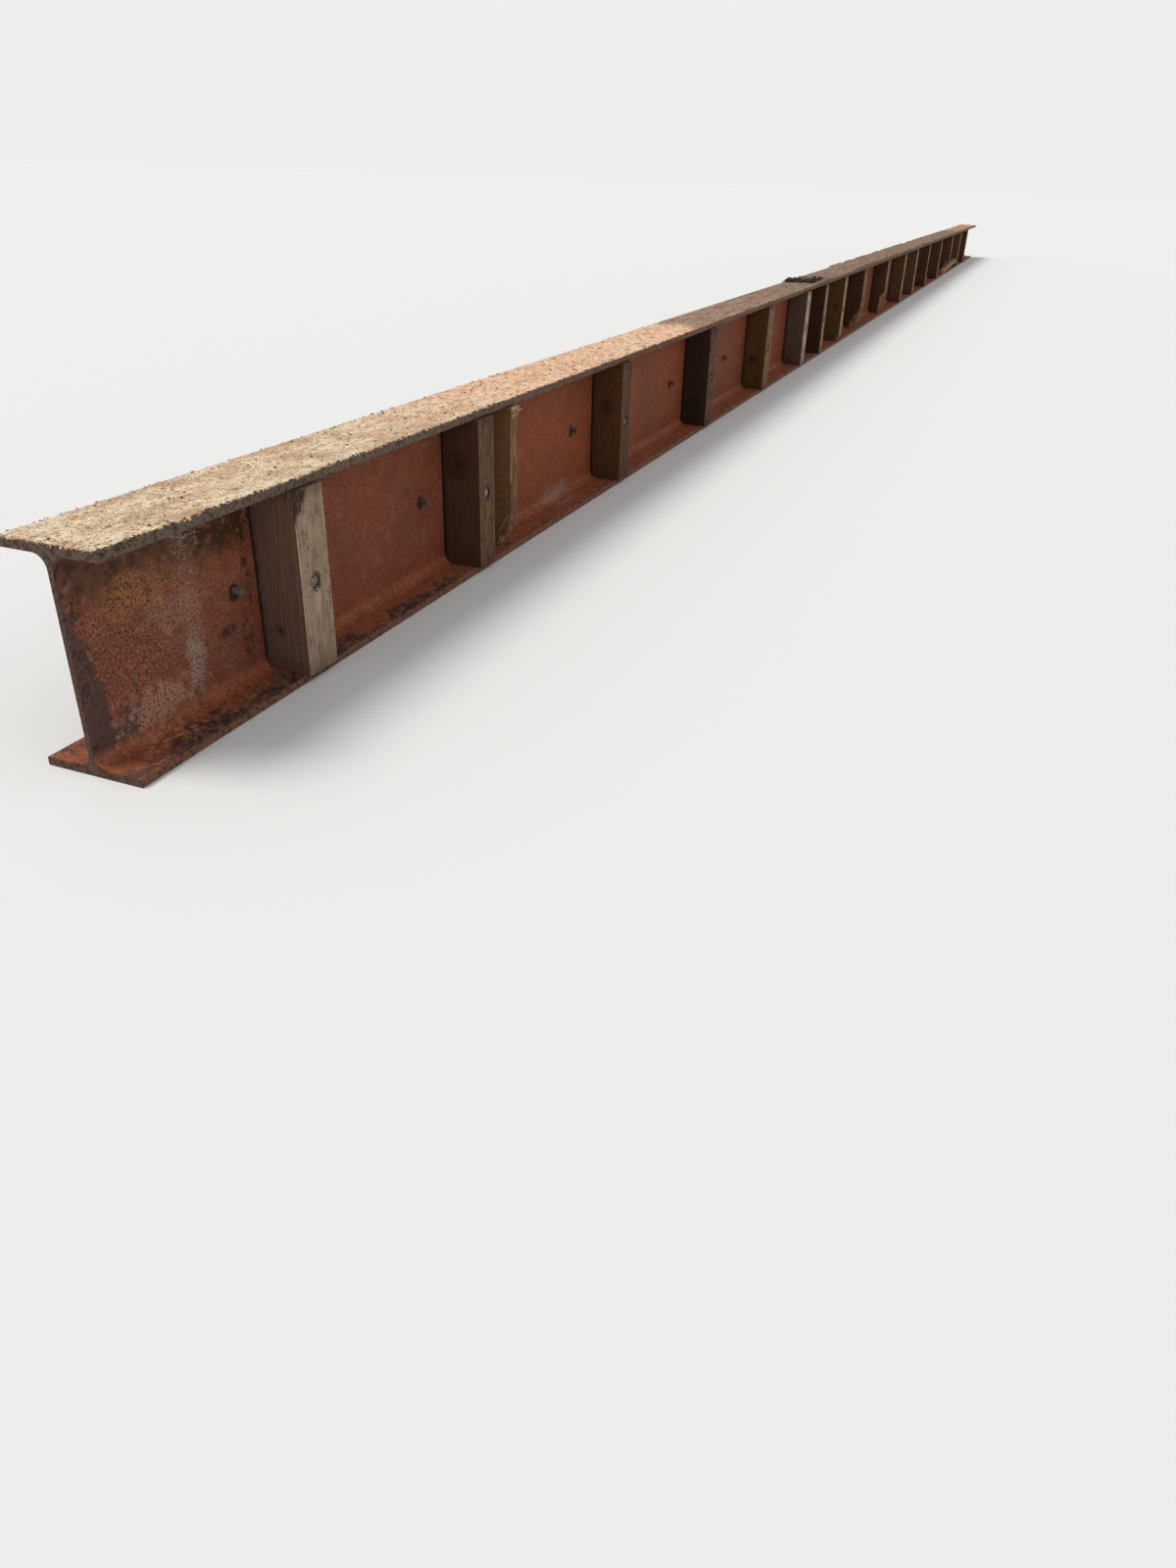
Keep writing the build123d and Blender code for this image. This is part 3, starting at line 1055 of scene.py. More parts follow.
def crust_places(rule):
    """A grid, how far each of its points lies along the beam, and its share across the flange."""
    grid = rule.add("GeometryNodeMeshGrid", {"Size X": 1.0, "Size Y": 1.0,
                    "Vertices X": CRUST_LENGTH_CELLS + 1, "Vertices Y": CRUST_WIDTH_CELLS + 1})
    share_along, share_across, _ = rule.xyz(rule.add("GeometryNodeInputPosition"))
    share = rule.math("ADD", share_along, 0.5)
    grown = rule.math("EXPONENT", rule.math("MULTIPLY", share, CRUST_STEPS))
    run = rule.math("MULTIPLY", rule.math("SUBTRACT", grown, 1.0), CELL / CELL_GROWTH)
    return grid, run, share_along, share_across


first_cell = CRUST_STEPS / CRUST_LENGTH_CELLS * CELL / CELL_GROWTH
print("cells", round(first_cell * 1000, 1), "mm long at first and",
      round(first_cell * math.exp(CRUST_STEPS) * 1000, 1), "mm at the far end")

# %% [markdown]
# ## The relief of the crust
#
# Five forms add up to the crust's height: fine grains, lumps, pits, the bed of a mossy heap at
# 3.3 m and a raised cake of dirt behind it. A single noise would give one size of bump everywhere,
# so each form has a noise of its own scale, and its own height in metres.

# %% Relief of the crust
MOSS_START, MOSS_END, MOSS_FADE = 3.22, 3.62, 0.12
CAKE_STARTS = 4.0
BED_HEIGHT = 0.0006
GRAIN_HEIGHT = 0.0011
LUMP_HEIGHT = 0.0012
PIT_HEIGHT = -0.0007
MOSS_HEIGHT = 0.004
CAKE_HEIGHT = 0.0065


def crust_height(rule, flat, run):
    drawn = rule.vector("MULTIPLY", flat, (0.6, 1.0, 1.0))
    grains = rule.math("POWER", rule.noise(drawn, 300.0, 2.0), 2.0)
    lumps = rule.ramp(rule.noise(drawn, 70.0, 4.0, 0.65), 0.48, 0.8)
    pits = rule.ramp(rule.noise(flat, 120.0, 2.0), 0.60, 0.68)
    moss = rule.math("MULTIPLY", rule.ramp(run, MOSS_START, MOSS_START + MOSS_FADE),
                     rule.ramp(run, MOSS_END, MOSS_END - MOSS_FADE))
    moss = rule.math("MULTIPLY", moss, rule.ramp(rule.noise(flat, 14.0, 4.0, 0.6), 0.46, 0.62))
    wavy = rule.math("MULTIPLY_ADD", rule.noise(flat, 7.0), 0.5, run)
    cake = rule.math("MULTIPLY", rule.ramp(wavy, CAKE_STARTS + 0.22, CAKE_STARTS + 0.32),
                     rule.ramp(rule.noise(flat, 9.0, 4.0, 0.6), 0.40, 0.50, 0.35, 1.0))
    height = rule.math("MULTIPLY_ADD", grains, GRAIN_HEIGHT, BED_HEIGHT)
    for form, rise in ((lumps, LUMP_HEIGHT), (pits, PIT_HEIGHT), (moss, MOSS_HEIGHT),
                       (cake, CAKE_HEIGHT)):
        height = rule.math("MULTIPLY_ADD", form, rise, height)
    return height


print("crust up to", round((BED_HEIGHT + GRAIN_HEIGHT + LUMP_HEIGHT) * 1000, 1), "mm thick, and up to",
      CAKE_HEIGHT * 1000, "mm more in the cake")

# %% [markdown]
# ## The rule of the crust
#
# The rule moves every point of the grid to its place on the flange and lifts it by the relief. The
# crust thins out towards its border and dips just into the steel there, so no gap shows under its
# rim. A straight rim would look cut, so a little noise bends it sideways as well.

# %% Crust rule
RIM_DIP = -0.0004


def crust_rule():
    rule = Rule("crust_on_flange", Length="float", HalfWidth="float", Seed="float",
                Material="material")
    grid, run, share_along, share_across = crust_places(rule)
    across = rule.math("MULTIPLY", rule.math("MULTIPLY", share_across, 2.0), rule.given["HalfWidth"])
    flat = rule.add("ShaderNodeCombineXYZ", {0: run, 1: across, 2: rule.given["Seed"]})
    from_side = rule.math("SUBTRACT", 0.5, rule.math("ABSOLUTE", share_across))
    from_end = rule.math("SUBTRACT", 0.5, rule.math("ABSOLUTE", share_along))
    inside = rule.math("MULTIPLY", rule.ramp(from_side, 0.0, 0.03), rule.ramp(from_end, 0.0, 0.005))
    dip = rule.ramp(inside, 0.0, 0.02, RIM_DIP, 0.0)
    lift = rule.math("MULTIPLY_ADD", crust_height(rule, flat, run), inside, dip)
    bend = rule.math("MULTIPLY", rule.math("SUBTRACT", rule.noise(flat, 90.0), 0.5), 0.0016)
    place = rule.add("ShaderNodeCombineXYZ", {0: rule.math("ADD", run, NEAR),
                     1: rule.math("ADD", across, bend), 2: rule.math("ADD", lift, TOP)})
    moved = rule.add("GeometryNodeSetPosition", {"Geometry": grid, "Position": place})
    return rule.close(rule.add("GeometryNodeSetShadeSmooth", {0: moved}))


crust_on_flange = crust_rule()
print("crust rule with", len(crust_on_flange.nodes), "nodes")

# %% [markdown]
# ## The colours of the crust
#
# Beside the camera the crust is cream sand with tan and orange clouds. It is warmer further on. From
# 1.9 m it is brown and dusty, which is painted shade over the dirt, and from 8.3 m on an orange layer
# is painted sunlight. Dark cracks run through it. One noise for all of it would give a single size of
# spot. So clouds, grains and streaks have noises of their own, most of them drawn out along the beam,
# which is the way that things are dragged over it.

# %% Grain of the crust
class Crust(Finish):
    """The crust's finish, with the noises that its layers share."""

    def __init__(self):
        super().__init__("sandy_crust")
        self.clouds = self.noise(self.stretched(0.55, 1.0, 1.0), 26.0, 7.0, 0.65)
        self.mid = self.noise(self.stretched(0.55, 1.0, 1.0), 95.0, 6.0, 0.7)
        self.grains = self.noise(self.spot, 480.0, 4.0, 0.75)
        self.streaks = self.noise(self.stretched(0.14, 1.0, 1.0), 75.0, 5.0, 0.65)

    def far_on(self, start, end):
        """0 before one place along the beam, 1 after another, and smooth between them."""
        return self.ramp(self.along, start, end)


sand = Crust()
print("crust starts with", len(sand.tree.nodes), "nodes")

# %% [markdown]
# ## Sand
#
# The sand is cream and tan in clouds, with single pale and dark grains, and orange dust from the
# rust underneath. Past half a metre the cream turns pale orange. The clouds are laid first and the
# grains over them, because grains show in both colours.

# %% Sand
CREAM = rgb(0.82, 0.65, 0.46)
TAN = rgb(0.48, 0.32, 0.19)
ORANGE_DUST = rgb(0.53, 0.28, 0.14)
PALE_GRAIN = rgb(0.96, 0.87, 0.70)
PALE_ORANGE = rgb(0.95, 0.56, 0.36)


def lay_sand():
    sand.colour = sand.mix(sand.ramp(sand.clouds, 0.42, 0.58), CREAM, TAN)
    sand.lay(sand.ramp(sand.mid, 0.50, 0.58), ORANGE_DUST, 0.55)
    sand.lay(sand.ramp(sand.grains, 0.50, 0.56), PALE_GRAIN, 0.6)
    sand.lay(sand.ramp(sand.grains, 0.46, 0.40), TAN, 0.75)
    sand.lay_in(sand.ramp(sand.clouds, 0.54, 0.64),
                (sand.ramp(sand.mid, 0.44, 0.52), ORANGE_DUST, 0.7))
    sand.lay(sand.ramp(sand.streaks, 0.54, 0.62), ORANGE_DUST, 0.45)
    sand.lay_in(sand.far_on(0.4, 1.0), (sand.ramp(sand.clouds, 0.32, 0.48), PALE_ORANGE, 0.6))


lay_sand()
print("sand laid,", len(sand.tree.nodes), "nodes")

# %% [markdown]
# ## Painted shade and sunlight on the crust
#
# From 1.9 m on, the sand turns brown with dusty spots, which is painted shade over the dirt, and dark
# streaks and rust lie in it. The clouds' noise is added to the distance before the ramp, so the brown
# begins in tongues and not along a straight line. From 8.3 m on, an orange layer over it is painted
# sunlight.

# %% Painted shade and sunlight
DIRT_IN_PAINTED_SHADE = rgb(0.17, 0.100, 0.070)
DUST_IN_PAINTED_SHADE = rgb(0.31, 0.210, 0.160)
CAKE_STREAK = rgb(0.10, 0.052, 0.032)
CAKE_RUST = rgb(0.22, 0.105, 0.060)


def lay_dirt_painted_shade_and_sun():
    # Past 1.9 m the sand turns brown, which is painted shade over the dirt.
    far = sand.ramp(sand.math("MULTIPLY_ADD", sand.clouds, 0.3, sand.along), 1.96, 2.10)
    dust = sand.mix(sand.ramp(sand.mid, 0.4, 0.62), DIRT_IN_PAINTED_SHADE, DUST_IN_PAINTED_SHADE)
    sand.lay_in(far, (sand.ramp(sand.along, 1.9, 3.6, 0.78, 0.93), dust, 1.0),
                (sand.ramp(sand.streaks, 0.50, 0.60), CAKE_STREAK, 0.6),
                (sand.ramp(sand.clouds, 0.55, 0.66), CAKE_RUST, 0.6))
    # The orange from 8.3 m on is painted sunlight.
    sand.lay(sand.far_on(8.3, 8.6), ORANGE_DUST, 0.75)


lay_dirt_painted_shade_and_sun()
print("dirt laid,", len(sand.tree.nodes), "nodes")

# %% [markdown]
# ## Cracks, rim and moss
#
# Dark cracks and pits run through all of the crust. The flange's rim shows through it in patches,
# grey near the camera and brown further on, and the mossy heap is nearly black. The heap's ramps
# are those of its relief, so colour and form lie in the same place.

# %% Cracks, rim and moss
DARK_PIT = rgb(0.075, 0.045, 0.030)
MOSS_DARK = rgb(0.035, 0.028, 0.018)


def lay_cracks():
    fine = sand.noise(sand.stretched(1.0, 0.45, 1.0), 300.0, 6.0, 0.75)
    sand.lay(sand.ramp(fine, 0.555, 0.60), DARK_PIT, 0.7)
    sand.lay(sand.specks(520.0, 0.59, 0.64, 3.0), DARK_PIT, 0.8)
    wide = sand.noise(sand.stretched(0.4, 1.0, 1.0), 130.0, 5.0, 0.7)
    sand.lay_in(sand.far_on(0.3, 0.9), (sand.ramp(wide, 0.55, 0.59), DARK_PIT, 0.65))


def lay_rim_and_moss():
    rim = sand.ramp(sand.size_of(sand.out), HALF_WIDTH - 0.005, HALF_WIDTH - 0.001)
    rim_colour = sand.mix(sand.far_on(0.8, 1.8), EDGE_GREY, EDGE_BROWN)
    sand.lay_in(rim, (sand.ramp(sand.mid, 0.42, 0.52), rim_colour, 0.75))
    moss = sand.both(sand.far_on(MOSS_START, MOSS_START + MOSS_FADE),
                     sand.far_on(MOSS_END, MOSS_END - MOSS_FADE))
    sand.lay_in(moss, (sand.ramp(sand.mid, 0.46, 0.54), MOSS_DARK, 0.75))


lay_cracks()
lay_rim_and_moss()
sandy_crust = sand.finish(0.93, sand.math("MULTIPLY_ADD", sand.mid, 0.7, sand.grains), 0.0011)
crust = run_rule("top_crust", crust_on_flange, bpy.data.meshes.new("crust_base"), "primed_steel",
                 Length=FAR - NEAR, HalfWidth=HALF_WIDTH - 0.0004, Seed=3.0, Material=sandy_crust)

# %% [markdown]
# ## Stones to copy
#
# Crumbs of mortar, lumps of scale and flakes are all rounded and uneven. A ball of few triangles is
# enough for them, because every copy is stretched, turned and roughened. The finer ball is for the
# lumps and the moss, whose outlines show.

# %% Stones
def keep_shape(name, form):
    """A shape to copy. It isn't part of the scene itself."""
    bmesh.ops.recalc_face_normals(form, faces=form.faces)
    mesh = bpy.data.meshes.new(name)
    form.to_mesh(mesh)
    form.free()
    print(name, "has", len(mesh.polygons), "faces")
    return bpy.data.objects.new(name, mesh)


def new_stone(name, finer=False):
    form = bmesh.new()
    bmesh.ops.create_icosphere(form, subdivisions=2 if finer else 1, radius=1.0)
    return keep_shape(name, form)


stone = new_stone("stone")
fine_stone = new_stone("fine_stone", finer=True)

# %% [markdown]
# ## Crumbs on the crust
#
# Loose crumbs lie on the crust, very many beside the camera and few further on. They are too many
# to set out one by one, and even rows would show. Geometry Nodes scatter points over the crust, as
# many to an area as the place along the beam says, and put a stone at each. A random number raised
# to the fourth power sets its size, so most crumbs are tiny.

# %% Crumb rule
CRUMBS_PER_AREA = 21000.0
SMALLEST_CRUMB, LARGEST_CRUMB = 0.0003, 0.0025
THIN_FROM, THICK_UP_TO, THIN_SHARE = 2.6, 0.05, 0.03
FULL_TURN = 6.28


def chance(rule, seed):
    """A random number from 0 to 1 for each point."""
    return rule.add("FunctionNodeRandomValue", {2: 0.0, 3: 1.0, 8: seed}, 1, data_type="FLOAT")


def scattered_points(rule):
    """Points on the faces that look upwards, thick beside the camera and thin further on."""
    along, _, _ = rule.xyz(rule.add("GeometryNodeInputPosition"))
    _, _, upwards = rule.xyz(rule.add("GeometryNodeInputNormal"))
    thick = rule.ramp(rule.math("SUBTRACT", along, NEAR), THIN_FROM, THICK_UP_TO, THIN_SHARE, 1.0)
    thick = rule.math("MULTIPLY", thick, rule.ramp(upwards, 0.2, 0.5))
    density = rule.math("MULTIPLY", thick, rule.given["PerArea"])
    return rule.add("GeometryNodeDistributePointsOnFaces", {"Mesh": rule.shape("Surface"),
                    "Density": density, "Seed": rule.given["Seed"]})


def crumb_rule():
    rule = Rule("crumbs_on_surface", Surface="object", Shape="object", PerArea="float",
                Smallest="float", Largest="float", Seed="int", Material="material")
    points = rule.add("GeometryNodeStoreNamedAttribute", {"Geometry": scattered_points(rule),
                      "Name": "shade", "Value": chance(rule, 11)}, data_type="FLOAT")
    span = rule.math("SUBTRACT", rule.given["Largest"], rule.given["Smallest"])
    mostly_small = rule.math("POWER", chance(rule, 12), 4.0)
    size = rule.math("MULTIPLY_ADD", mostly_small, span, rule.given["Smallest"])
    turn = rule.add("FunctionNodeRandomValue", {0: (0, 0, 0), 1: (FULL_TURN,) * 3, 8: 13}, 0,
                    data_type="FLOAT_VECTOR")
    turn = rule.add("FunctionNodeEulerToRotation", {0: turn})
    copies = rule.add("GeometryNodeInstanceOnPoints", {"Points": points, "Rotation": turn,
                      "Instance": rule.shape("Shape"), "Scale": size})
    real = rule.add("GeometryNodeRealizeInstances", {0: copies})
    push = rule.vector("MULTIPLY", rule.push(420.0), (0.0012, 0.0012, 0.0008))
    return rule.close(rule.add("GeometryNodeSetPosition", {"Geometry": real, "Offset": push}))


crumbs_on_surface = crumb_rule()
print("crumb rule with", len(crumbs_on_surface.nodes), "nodes")

# %% [markdown]
# ## The crumbs' colours
#
# A crumb is cream, tan, orange or dark as a whole. Its shade is drawn once, kept on the copy as an
# attribute and read by the material. Noise alone would colour each crumb in patches.

# %% Crumbs
def own_shade(made):
    """The shade from 0 to 1 that each copy carries."""
    return made.add("ShaderNodeAttribute", out="Fac", attribute_name="shade")


def crumb_finish():
    crumb = Finish("sandy_crumbs")
    shade = own_shade(crumb)
    crumb.colour = crumb.mix(crumb.ramp(shade, 0.2, 1.0), TAN, CREAM)
    crumb.lay(crumb.ramp(shade, 0.70, 0.74), ORANGE_DUST, 0.8)
    crumb.lay(crumb.ramp(shade, 0.85, 0.88), DARK_PIT, 0.9)
    # Past 1.8 m the crumbs take the brown of the crust there, which is painted shade.
    crumb.lay(crumb.ramp(crumb.along, 1.8, 2.1), DUST_IN_PAINTED_SHADE, 0.8)
    grain = crumb.noise(crumb.spot, 900.0, 3.0)
    crumb.lay(crumb.ramp(grain, 0.5, 0.65), CREAM, 0.5)
    return crumb.finish(0.92, grain, 0.0004)


sandy_crumbs = crumb_finish()
run_rule("crust_crumbs", crumbs_on_surface, bpy.data.meshes.new("crumb_base"), "primed_steel",
         Surface=crust, Shape=stone, PerArea=CRUMBS_PER_AREA, Smallest=SMALLEST_CRUMB,
         Largest=LARGEST_CRUMB, Seed=5, Material=sandy_crumbs)

# %% [markdown]
# ## The crust's underside
#
# So far the crust is an open sheet. Its border lies in one plane just inside the steel, so a single
# face closes it and makes it a solid form. A second relief underneath would cost as many triangles
# again and never be seen. The crumbs were strewn first, so none of them could fall on this face.

# %% Underside
def close_underside(piece):
    """Fills the open border of a piece with one face."""
    form = bmesh.new()
    form.from_mesh(piece.data)
    border = [edge for edge in form.edges if edge.is_boundary]
    bmesh.ops.holes_fill(form, edges=border, sides=0)
    bmesh.ops.recalc_face_normals(form, faces=form.faces)
    form.to_mesh(piece.data)
    form.free()
    print(piece.name, "closed along", len(border), "edges")


close_underside(crust)

# %% [markdown]
# ## One rule for lumps, flakes and splinters
#
# The rest of the small forms have places of their own: along an edge, over a cut end, round a post.
# Scattering by area can't know those. Python draws them instead, and each becomes a point that
# carries its own size and turn. This rule puts a copy of a shape at every point, and roughens the
# copies with noise, so that no two are alike.

# %% Point rule
def point_rule():
    rule = Rule("shape_at_every_point", Shape="object", Roughness="float", Grain="float",
                Material="material")
    turn = rule.add("FunctionNodeEulerToRotation", {0: rule.named("turn", "FLOAT_VECTOR")})
    copies = rule.add("GeometryNodeInstanceOnPoints", {"Points": rule.given["Geometry"],
                      "Instance": rule.shape("Shape"), "Rotation": turn,
                      "Scale": rule.named("size", "FLOAT_VECTOR")})
    real = rule.add("GeometryNodeRealizeInstances", {0: copies})
    push = rule.add("ShaderNodeVectorMath", {0: rule.push(rule.given["Grain"]),
                    "Scale": rule.given["Roughness"]}, operation="SCALE")
    return rule.close(rule.add("GeometryNodeSetPosition", {"Geometry": real, "Offset": push}))


every_point = point_rule()
print("point rule with", len(every_point.nodes), "nodes")

# %% [markdown]
# ## Drawing the places
#
# A list of base points belongs to each kind of small form. Its random numbers start from a seed of
# its own, so a change to one kind leaves all the others as they were. The points become a mesh
# without faces, and their sizes, turns and shades become attributes that the rule reads by name.

# %% Base points
class Strewn:
    """Base points drawn by a seeded choice. Along is counted from the beam's near end."""

    def __init__(self, seed):
        self.dice = random.Random(seed)
        self.rows = []

    def between(self, low, high):
        return self.dice.uniform(low, high)

    def size(self, smallest, largest, flat=1.0):
        """A random size, small far more often than large, a little uneven, and flat if wanted."""
        base = smallest + (largest - smallest) * self.dice.random() ** 3
        return (base * self.between(0.7, 1.4), base * self.between(0.7, 1.3),
                base * self.between(0.6, 1.0) * flat)

    def turn(self, lean=math.pi):
        """A random turn that leans over by no more than this."""
        return (self.between(-lean, lean), self.between(-lean, lean), self.between(-3.1, 3.1))

    def put(self, along, out, up, size, turn, shade=None):
        shade = self.dice.random() if shade is None else shade
        self.rows.append(((NEAR + along, out, up), size, turn, shade))

    def mesh(self, name):
        made = bpy.data.meshes.new(name)
        made.from_pydata([row[0] for row in self.rows], [], [])
        for column, key, kind, field in ((1, "size", "FLOAT_VECTOR", "vector"),
                                         (2, "turn", "FLOAT_VECTOR", "vector"),
                                         (3, "shade", "FLOAT", "value")):
            layer = made.attributes.new(key, kind, "POINT")
            for item, row in zip(layer.data, self.rows):
                setattr(item, field, row[column])
        return made


list_methods(Strewn)

# %% [markdown]
# ## Finishes with a shade for every copy
#
# Scale, moss and torn fibre are each dark here and pale there. One material for each kind is enough,
# because every copy brings its own shade between two colours. Fine specks of both colours lie on
# all of them, and scale has rust as well.

# %% Shaded finishes
def shaded_finish(name, dark, pale, grain=500.0, rust=0.0):
    made = Finish(name)
    made.colour = made.mix(own_shade(made), dark, pale)
    fine = made.noise(made.spot, grain, 4.0, 0.65)
    made.lay(made.ramp(fine, 0.52, 0.64), dark, 0.7)
    made.lay(made.ramp(fine, 0.42, 0.34), pale, 0.5)
    if rust:
        made.lay(made.specks(150.0, 0.50, 0.62, 4.0), RUST_BROWN, rust)
    return made.finish(0.85, fine, 0.0006)


edge_scale = shaded_finish("edge_scale", rgb(0.035, 0.026, 0.02), rgb(0.17, 0.125, 0.09), rust=0.5)
dead_moss = shaded_finish("dead_moss", rgb(0.012, 0.008, 0.005), rgb(0.050, 0.033, 0.020))
loose_scale = shaded_finish("loose_scale", rgb(0.045, 0.026, 0.02), rgb(0.21, 0.095, 0.05), rust=0.4)
print("finishes for scale on the edge, moss and loose scale")

# %% [markdown]
# ## Lumps along the edges
#
# Lumps of mortar and scale cling along both edges of the top flange. They could be a part of the
# crust's grid, but a grid lifted by noise can't hang over an edge. So each is a stone with a place
# of its own, on the rim or a little way down from it. The random number for the place is raised to
# a power, which brings most of them near the camera.

# %% Edge lumps
TOWARDS_CAMERA = 3.2


def edge_lumps():
    """The side in view has more lumps than the hidden side, and larger ones."""
    lumps = Strewn(21)
    for side, count, largest in ((-1, 1300, 0.0026), (1, 260, 0.0012)):
        for _ in range(count):
            along = (FAR - NEAR - 0.004) * lumps.dice.random() ** TOWARDS_CAMERA
            inwards = lumps.between(-0.0004, 0.0042)
            down = lumps.between(0.0, 0.0045) if inwards < 0.0004 else 0.0
            lumps.put(along, side * (HALF_WIDTH - inwards), TOP + 0.0004 - down,
                      lumps.size(0.0005, largest, 0.7), lumps.turn(0.5))
    return lumps.mesh("edge_lump_base")


run_rule("edge_lumps", every_point, edge_lumps(), "primed_steel", Shape=fine_stone,
         Roughness=0.0026, Grain=260.0, Material=edge_scale)

# %% [markdown]
# ## Lumps at the cut end
#
# At the cut end the crust breaks off in fine lumps of its own sand. Five clods lie further in. They
# catch the eye in the photograph, so their places and sizes are written down and only the way they
# are turned is left to chance.

# %% End lumps
END_LUMPS = 260
CLODS = ((0.066, -0.012, 0.0040), (0.161, -0.037, 0.0046), (0.232, -0.031, 0.0042),
         (0.094, -0.047, 0.0030), (0.310, -0.018, 0.0036))


def end_lumps():
    lumps = Strewn(22)
    for _ in range(END_LUMPS):
        lumps.put(lumps.between(-0.0004, 0.004), lumps.between(-HALF_WIDTH, HALF_WIDTH),
                  TOP + lumps.between(-0.0016, 0.0006), lumps.size(0.0004, 0.0014), lumps.turn())
    for along, out, size in CLODS:
        lumps.put(along, out, TOP + 0.002, (size, size * 0.8, size * 0.6), lumps.turn(0.4), 0.5)
    return lumps.mesh("end_lump_base")


run_rule("end_lumps", every_point, end_lumps(), "primed_steel", Shape=fine_stone,
         Roughness=0.0014, Grain=300.0, Material=sandy_crumbs)

# %% [markdown]
# ## The heap of moss
#
# A heap of dead moss lies on the flange at 3.3 m. A few large forms would look like pebbles there.
# Many small dark ones are drawn instead, close together about the middle of each clump and thinner
# around it, as a bell curve says. A strong roughness then breaks up their outlines.

# %% Moss
MOSS_CLUMPS = ((MOSS_START + 0.10, 0.038, 100), (MOSS_START + 0.12, -0.014, 170))


def moss_lumps():
    """Two loose clumps side by side, one at the back edge and a larger one in the middle."""
    heap = Strewn(23)
    for middle, out, count in MOSS_CLUMPS:
        for _ in range(count):
            aside = max(-0.055, min(0.055, heap.dice.gauss(out, 0.012)))
            heap.put(heap.dice.gauss(middle, 0.042), aside, TOP + heap.between(0.001, 0.005),
                     heap.size(0.0020, 0.0085, 0.8), heap.turn())
    return heap.mesh("moss_base")


run_rule("moss_heap", every_point, moss_lumps(), "primed_steel", Shape=fine_stone,
         Roughness=0.006, Grain=180.0, Material=dead_moss)

# %% [markdown]
# ## Flakes on the lower flange
#
# The lower flange is littered with flakes of scale and crumbs that fell from above, most of all
# beside the near end and round the feet of the posts. The worn strip has most of them, so zones
# along it are listed with the number in each, which follows the photograph closer than one density
# would. Flakes lie flat: they are stones squeezed to about a fifth of their height, and hardly lean.

# %% Flakes
FLAKE_ZONES = ((0.05, 0.19, 0.036, 0.059, 130), (0.19, 0.28, 0.024, 0.056, 150),
               (0.335, 0.43, 0.044, 0.059, 60), (0.50, 0.68, 0.046, 0.059, 70),
               (0.78, 1.35, 0.046, 0.059, 120), (1.40, 4.0, 0.044, 0.059, 320))
LITTERED_POSTS = 8
CRUMBS_A_POST = 30


def flakes_in_zones(flakes):
    """A zone gives its start and end, how far out it begins and ends, and the number of flakes."""
    for start, end, inner, outer, count in FLAKE_ZONES:
        for _ in range(count):
            out = -flakes.between(inner, outer)
            flakes.put(flakes.between(start, end), out, FLANGE + 0.0002,
                       flakes.size(0.0008, 0.0050, 0.22), flakes.turn(0.12))


def crumbs_round_posts(flakes):
    for name in front_posts[:LITTERED_POSTS]:
        middle, half = post_middle(name)
        for _ in range(CRUMBS_A_POST):
            reach = half + abs(flakes.dice.gauss(0.0, 0.010)) + 0.001
            flakes.put(middle + flakes.dice.choice((-1, 1)) * reach, -flakes.between(0.020, 0.060),
                       FLANGE + 0.0006, flakes.size(0.0007, 0.0026, 0.6), flakes.turn(0.5))


flakes = Strewn(24)
flakes_in_zones(flakes)
crumbs_round_posts(flakes)
run_rule("flange_flakes", every_point, flakes.mesh("flake_base"), "primed_steel", Shape=stone,
         Roughness=0.0016, Grain=400.0, Material=loose_scale)

# %% [markdown]
# ## A lathe that cuts threads
#
# Each bolt is a form turned about its axis. A profile is drawn once and turned, as on a lathe. The
# thread can't be part of a plain profile, because it climbs as it goes round. So the lathe moves
# each point in or out by its height and its turn together, and the ridge becomes a true screw line.

# %% Lathe
THREAD_PITCH = 0.0018


def lathe(name, profile, sides):
    """A closed form about the Z axis. Each row of the profile is a radius, a height and the depth
    of a thread there. The first row and the last lie on the axis."""
    form = bmesh.new()
    rings = []
    for radius, height, thread in profile:
        count = sides if radius else 1
        ring = []
        for step in range(count):
            turn = 2 * math.pi * step / sides
            phase = (height / THREAD_PITCH + step / sides) % 1.0
            here = radius - thread * abs(2.0 * phase - 1.0)
            ring.append(form.verts.new((here * math.cos(turn), here * math.sin(turn), height)))
        rings.append(ring)
    for above, below in zip(rings, rings[1:]):
        for step in range(sides):
            corners = (above[step % len(above)], below[step % len(below)],
                       below[(step + 1) % len(below)], above[(step + 1) % len(above)])
            form.faces.new(tuple(dict.fromkeys(corners)))
    return keep_shape(name, form)


print("one turn of the thread climbs", THREAD_PITCH * 1000, "mm")

# %% [markdown]
# ## The shape of a bolt
#
# A bolt has a low dome with a rim, a shank, and a thread on its last stretch, which is the part that
# stands out of the web on the other side. The dome is a quarter of an ellipse in seven steps. The
# thread needs five rows to each turn, or its ridge would break up.

# %% Bolt shape
HEAD_RADIUS = 0.0078
HEAD_RIM = 0.0012
HEAD_DOME = 0.0031
DOME_STEPS = 7
CHAMFER = 0.0002
SHANK_RADIUS = 0.0045
BOLT_REACH = 0.076
THREAD_LENGTH = 0.020
THREAD_DEPTH = 0.0007
ROWS_A_THREAD = 5
BOLT_POINT = (0.0014, 0.0012)
BOLT_TURNS = 20


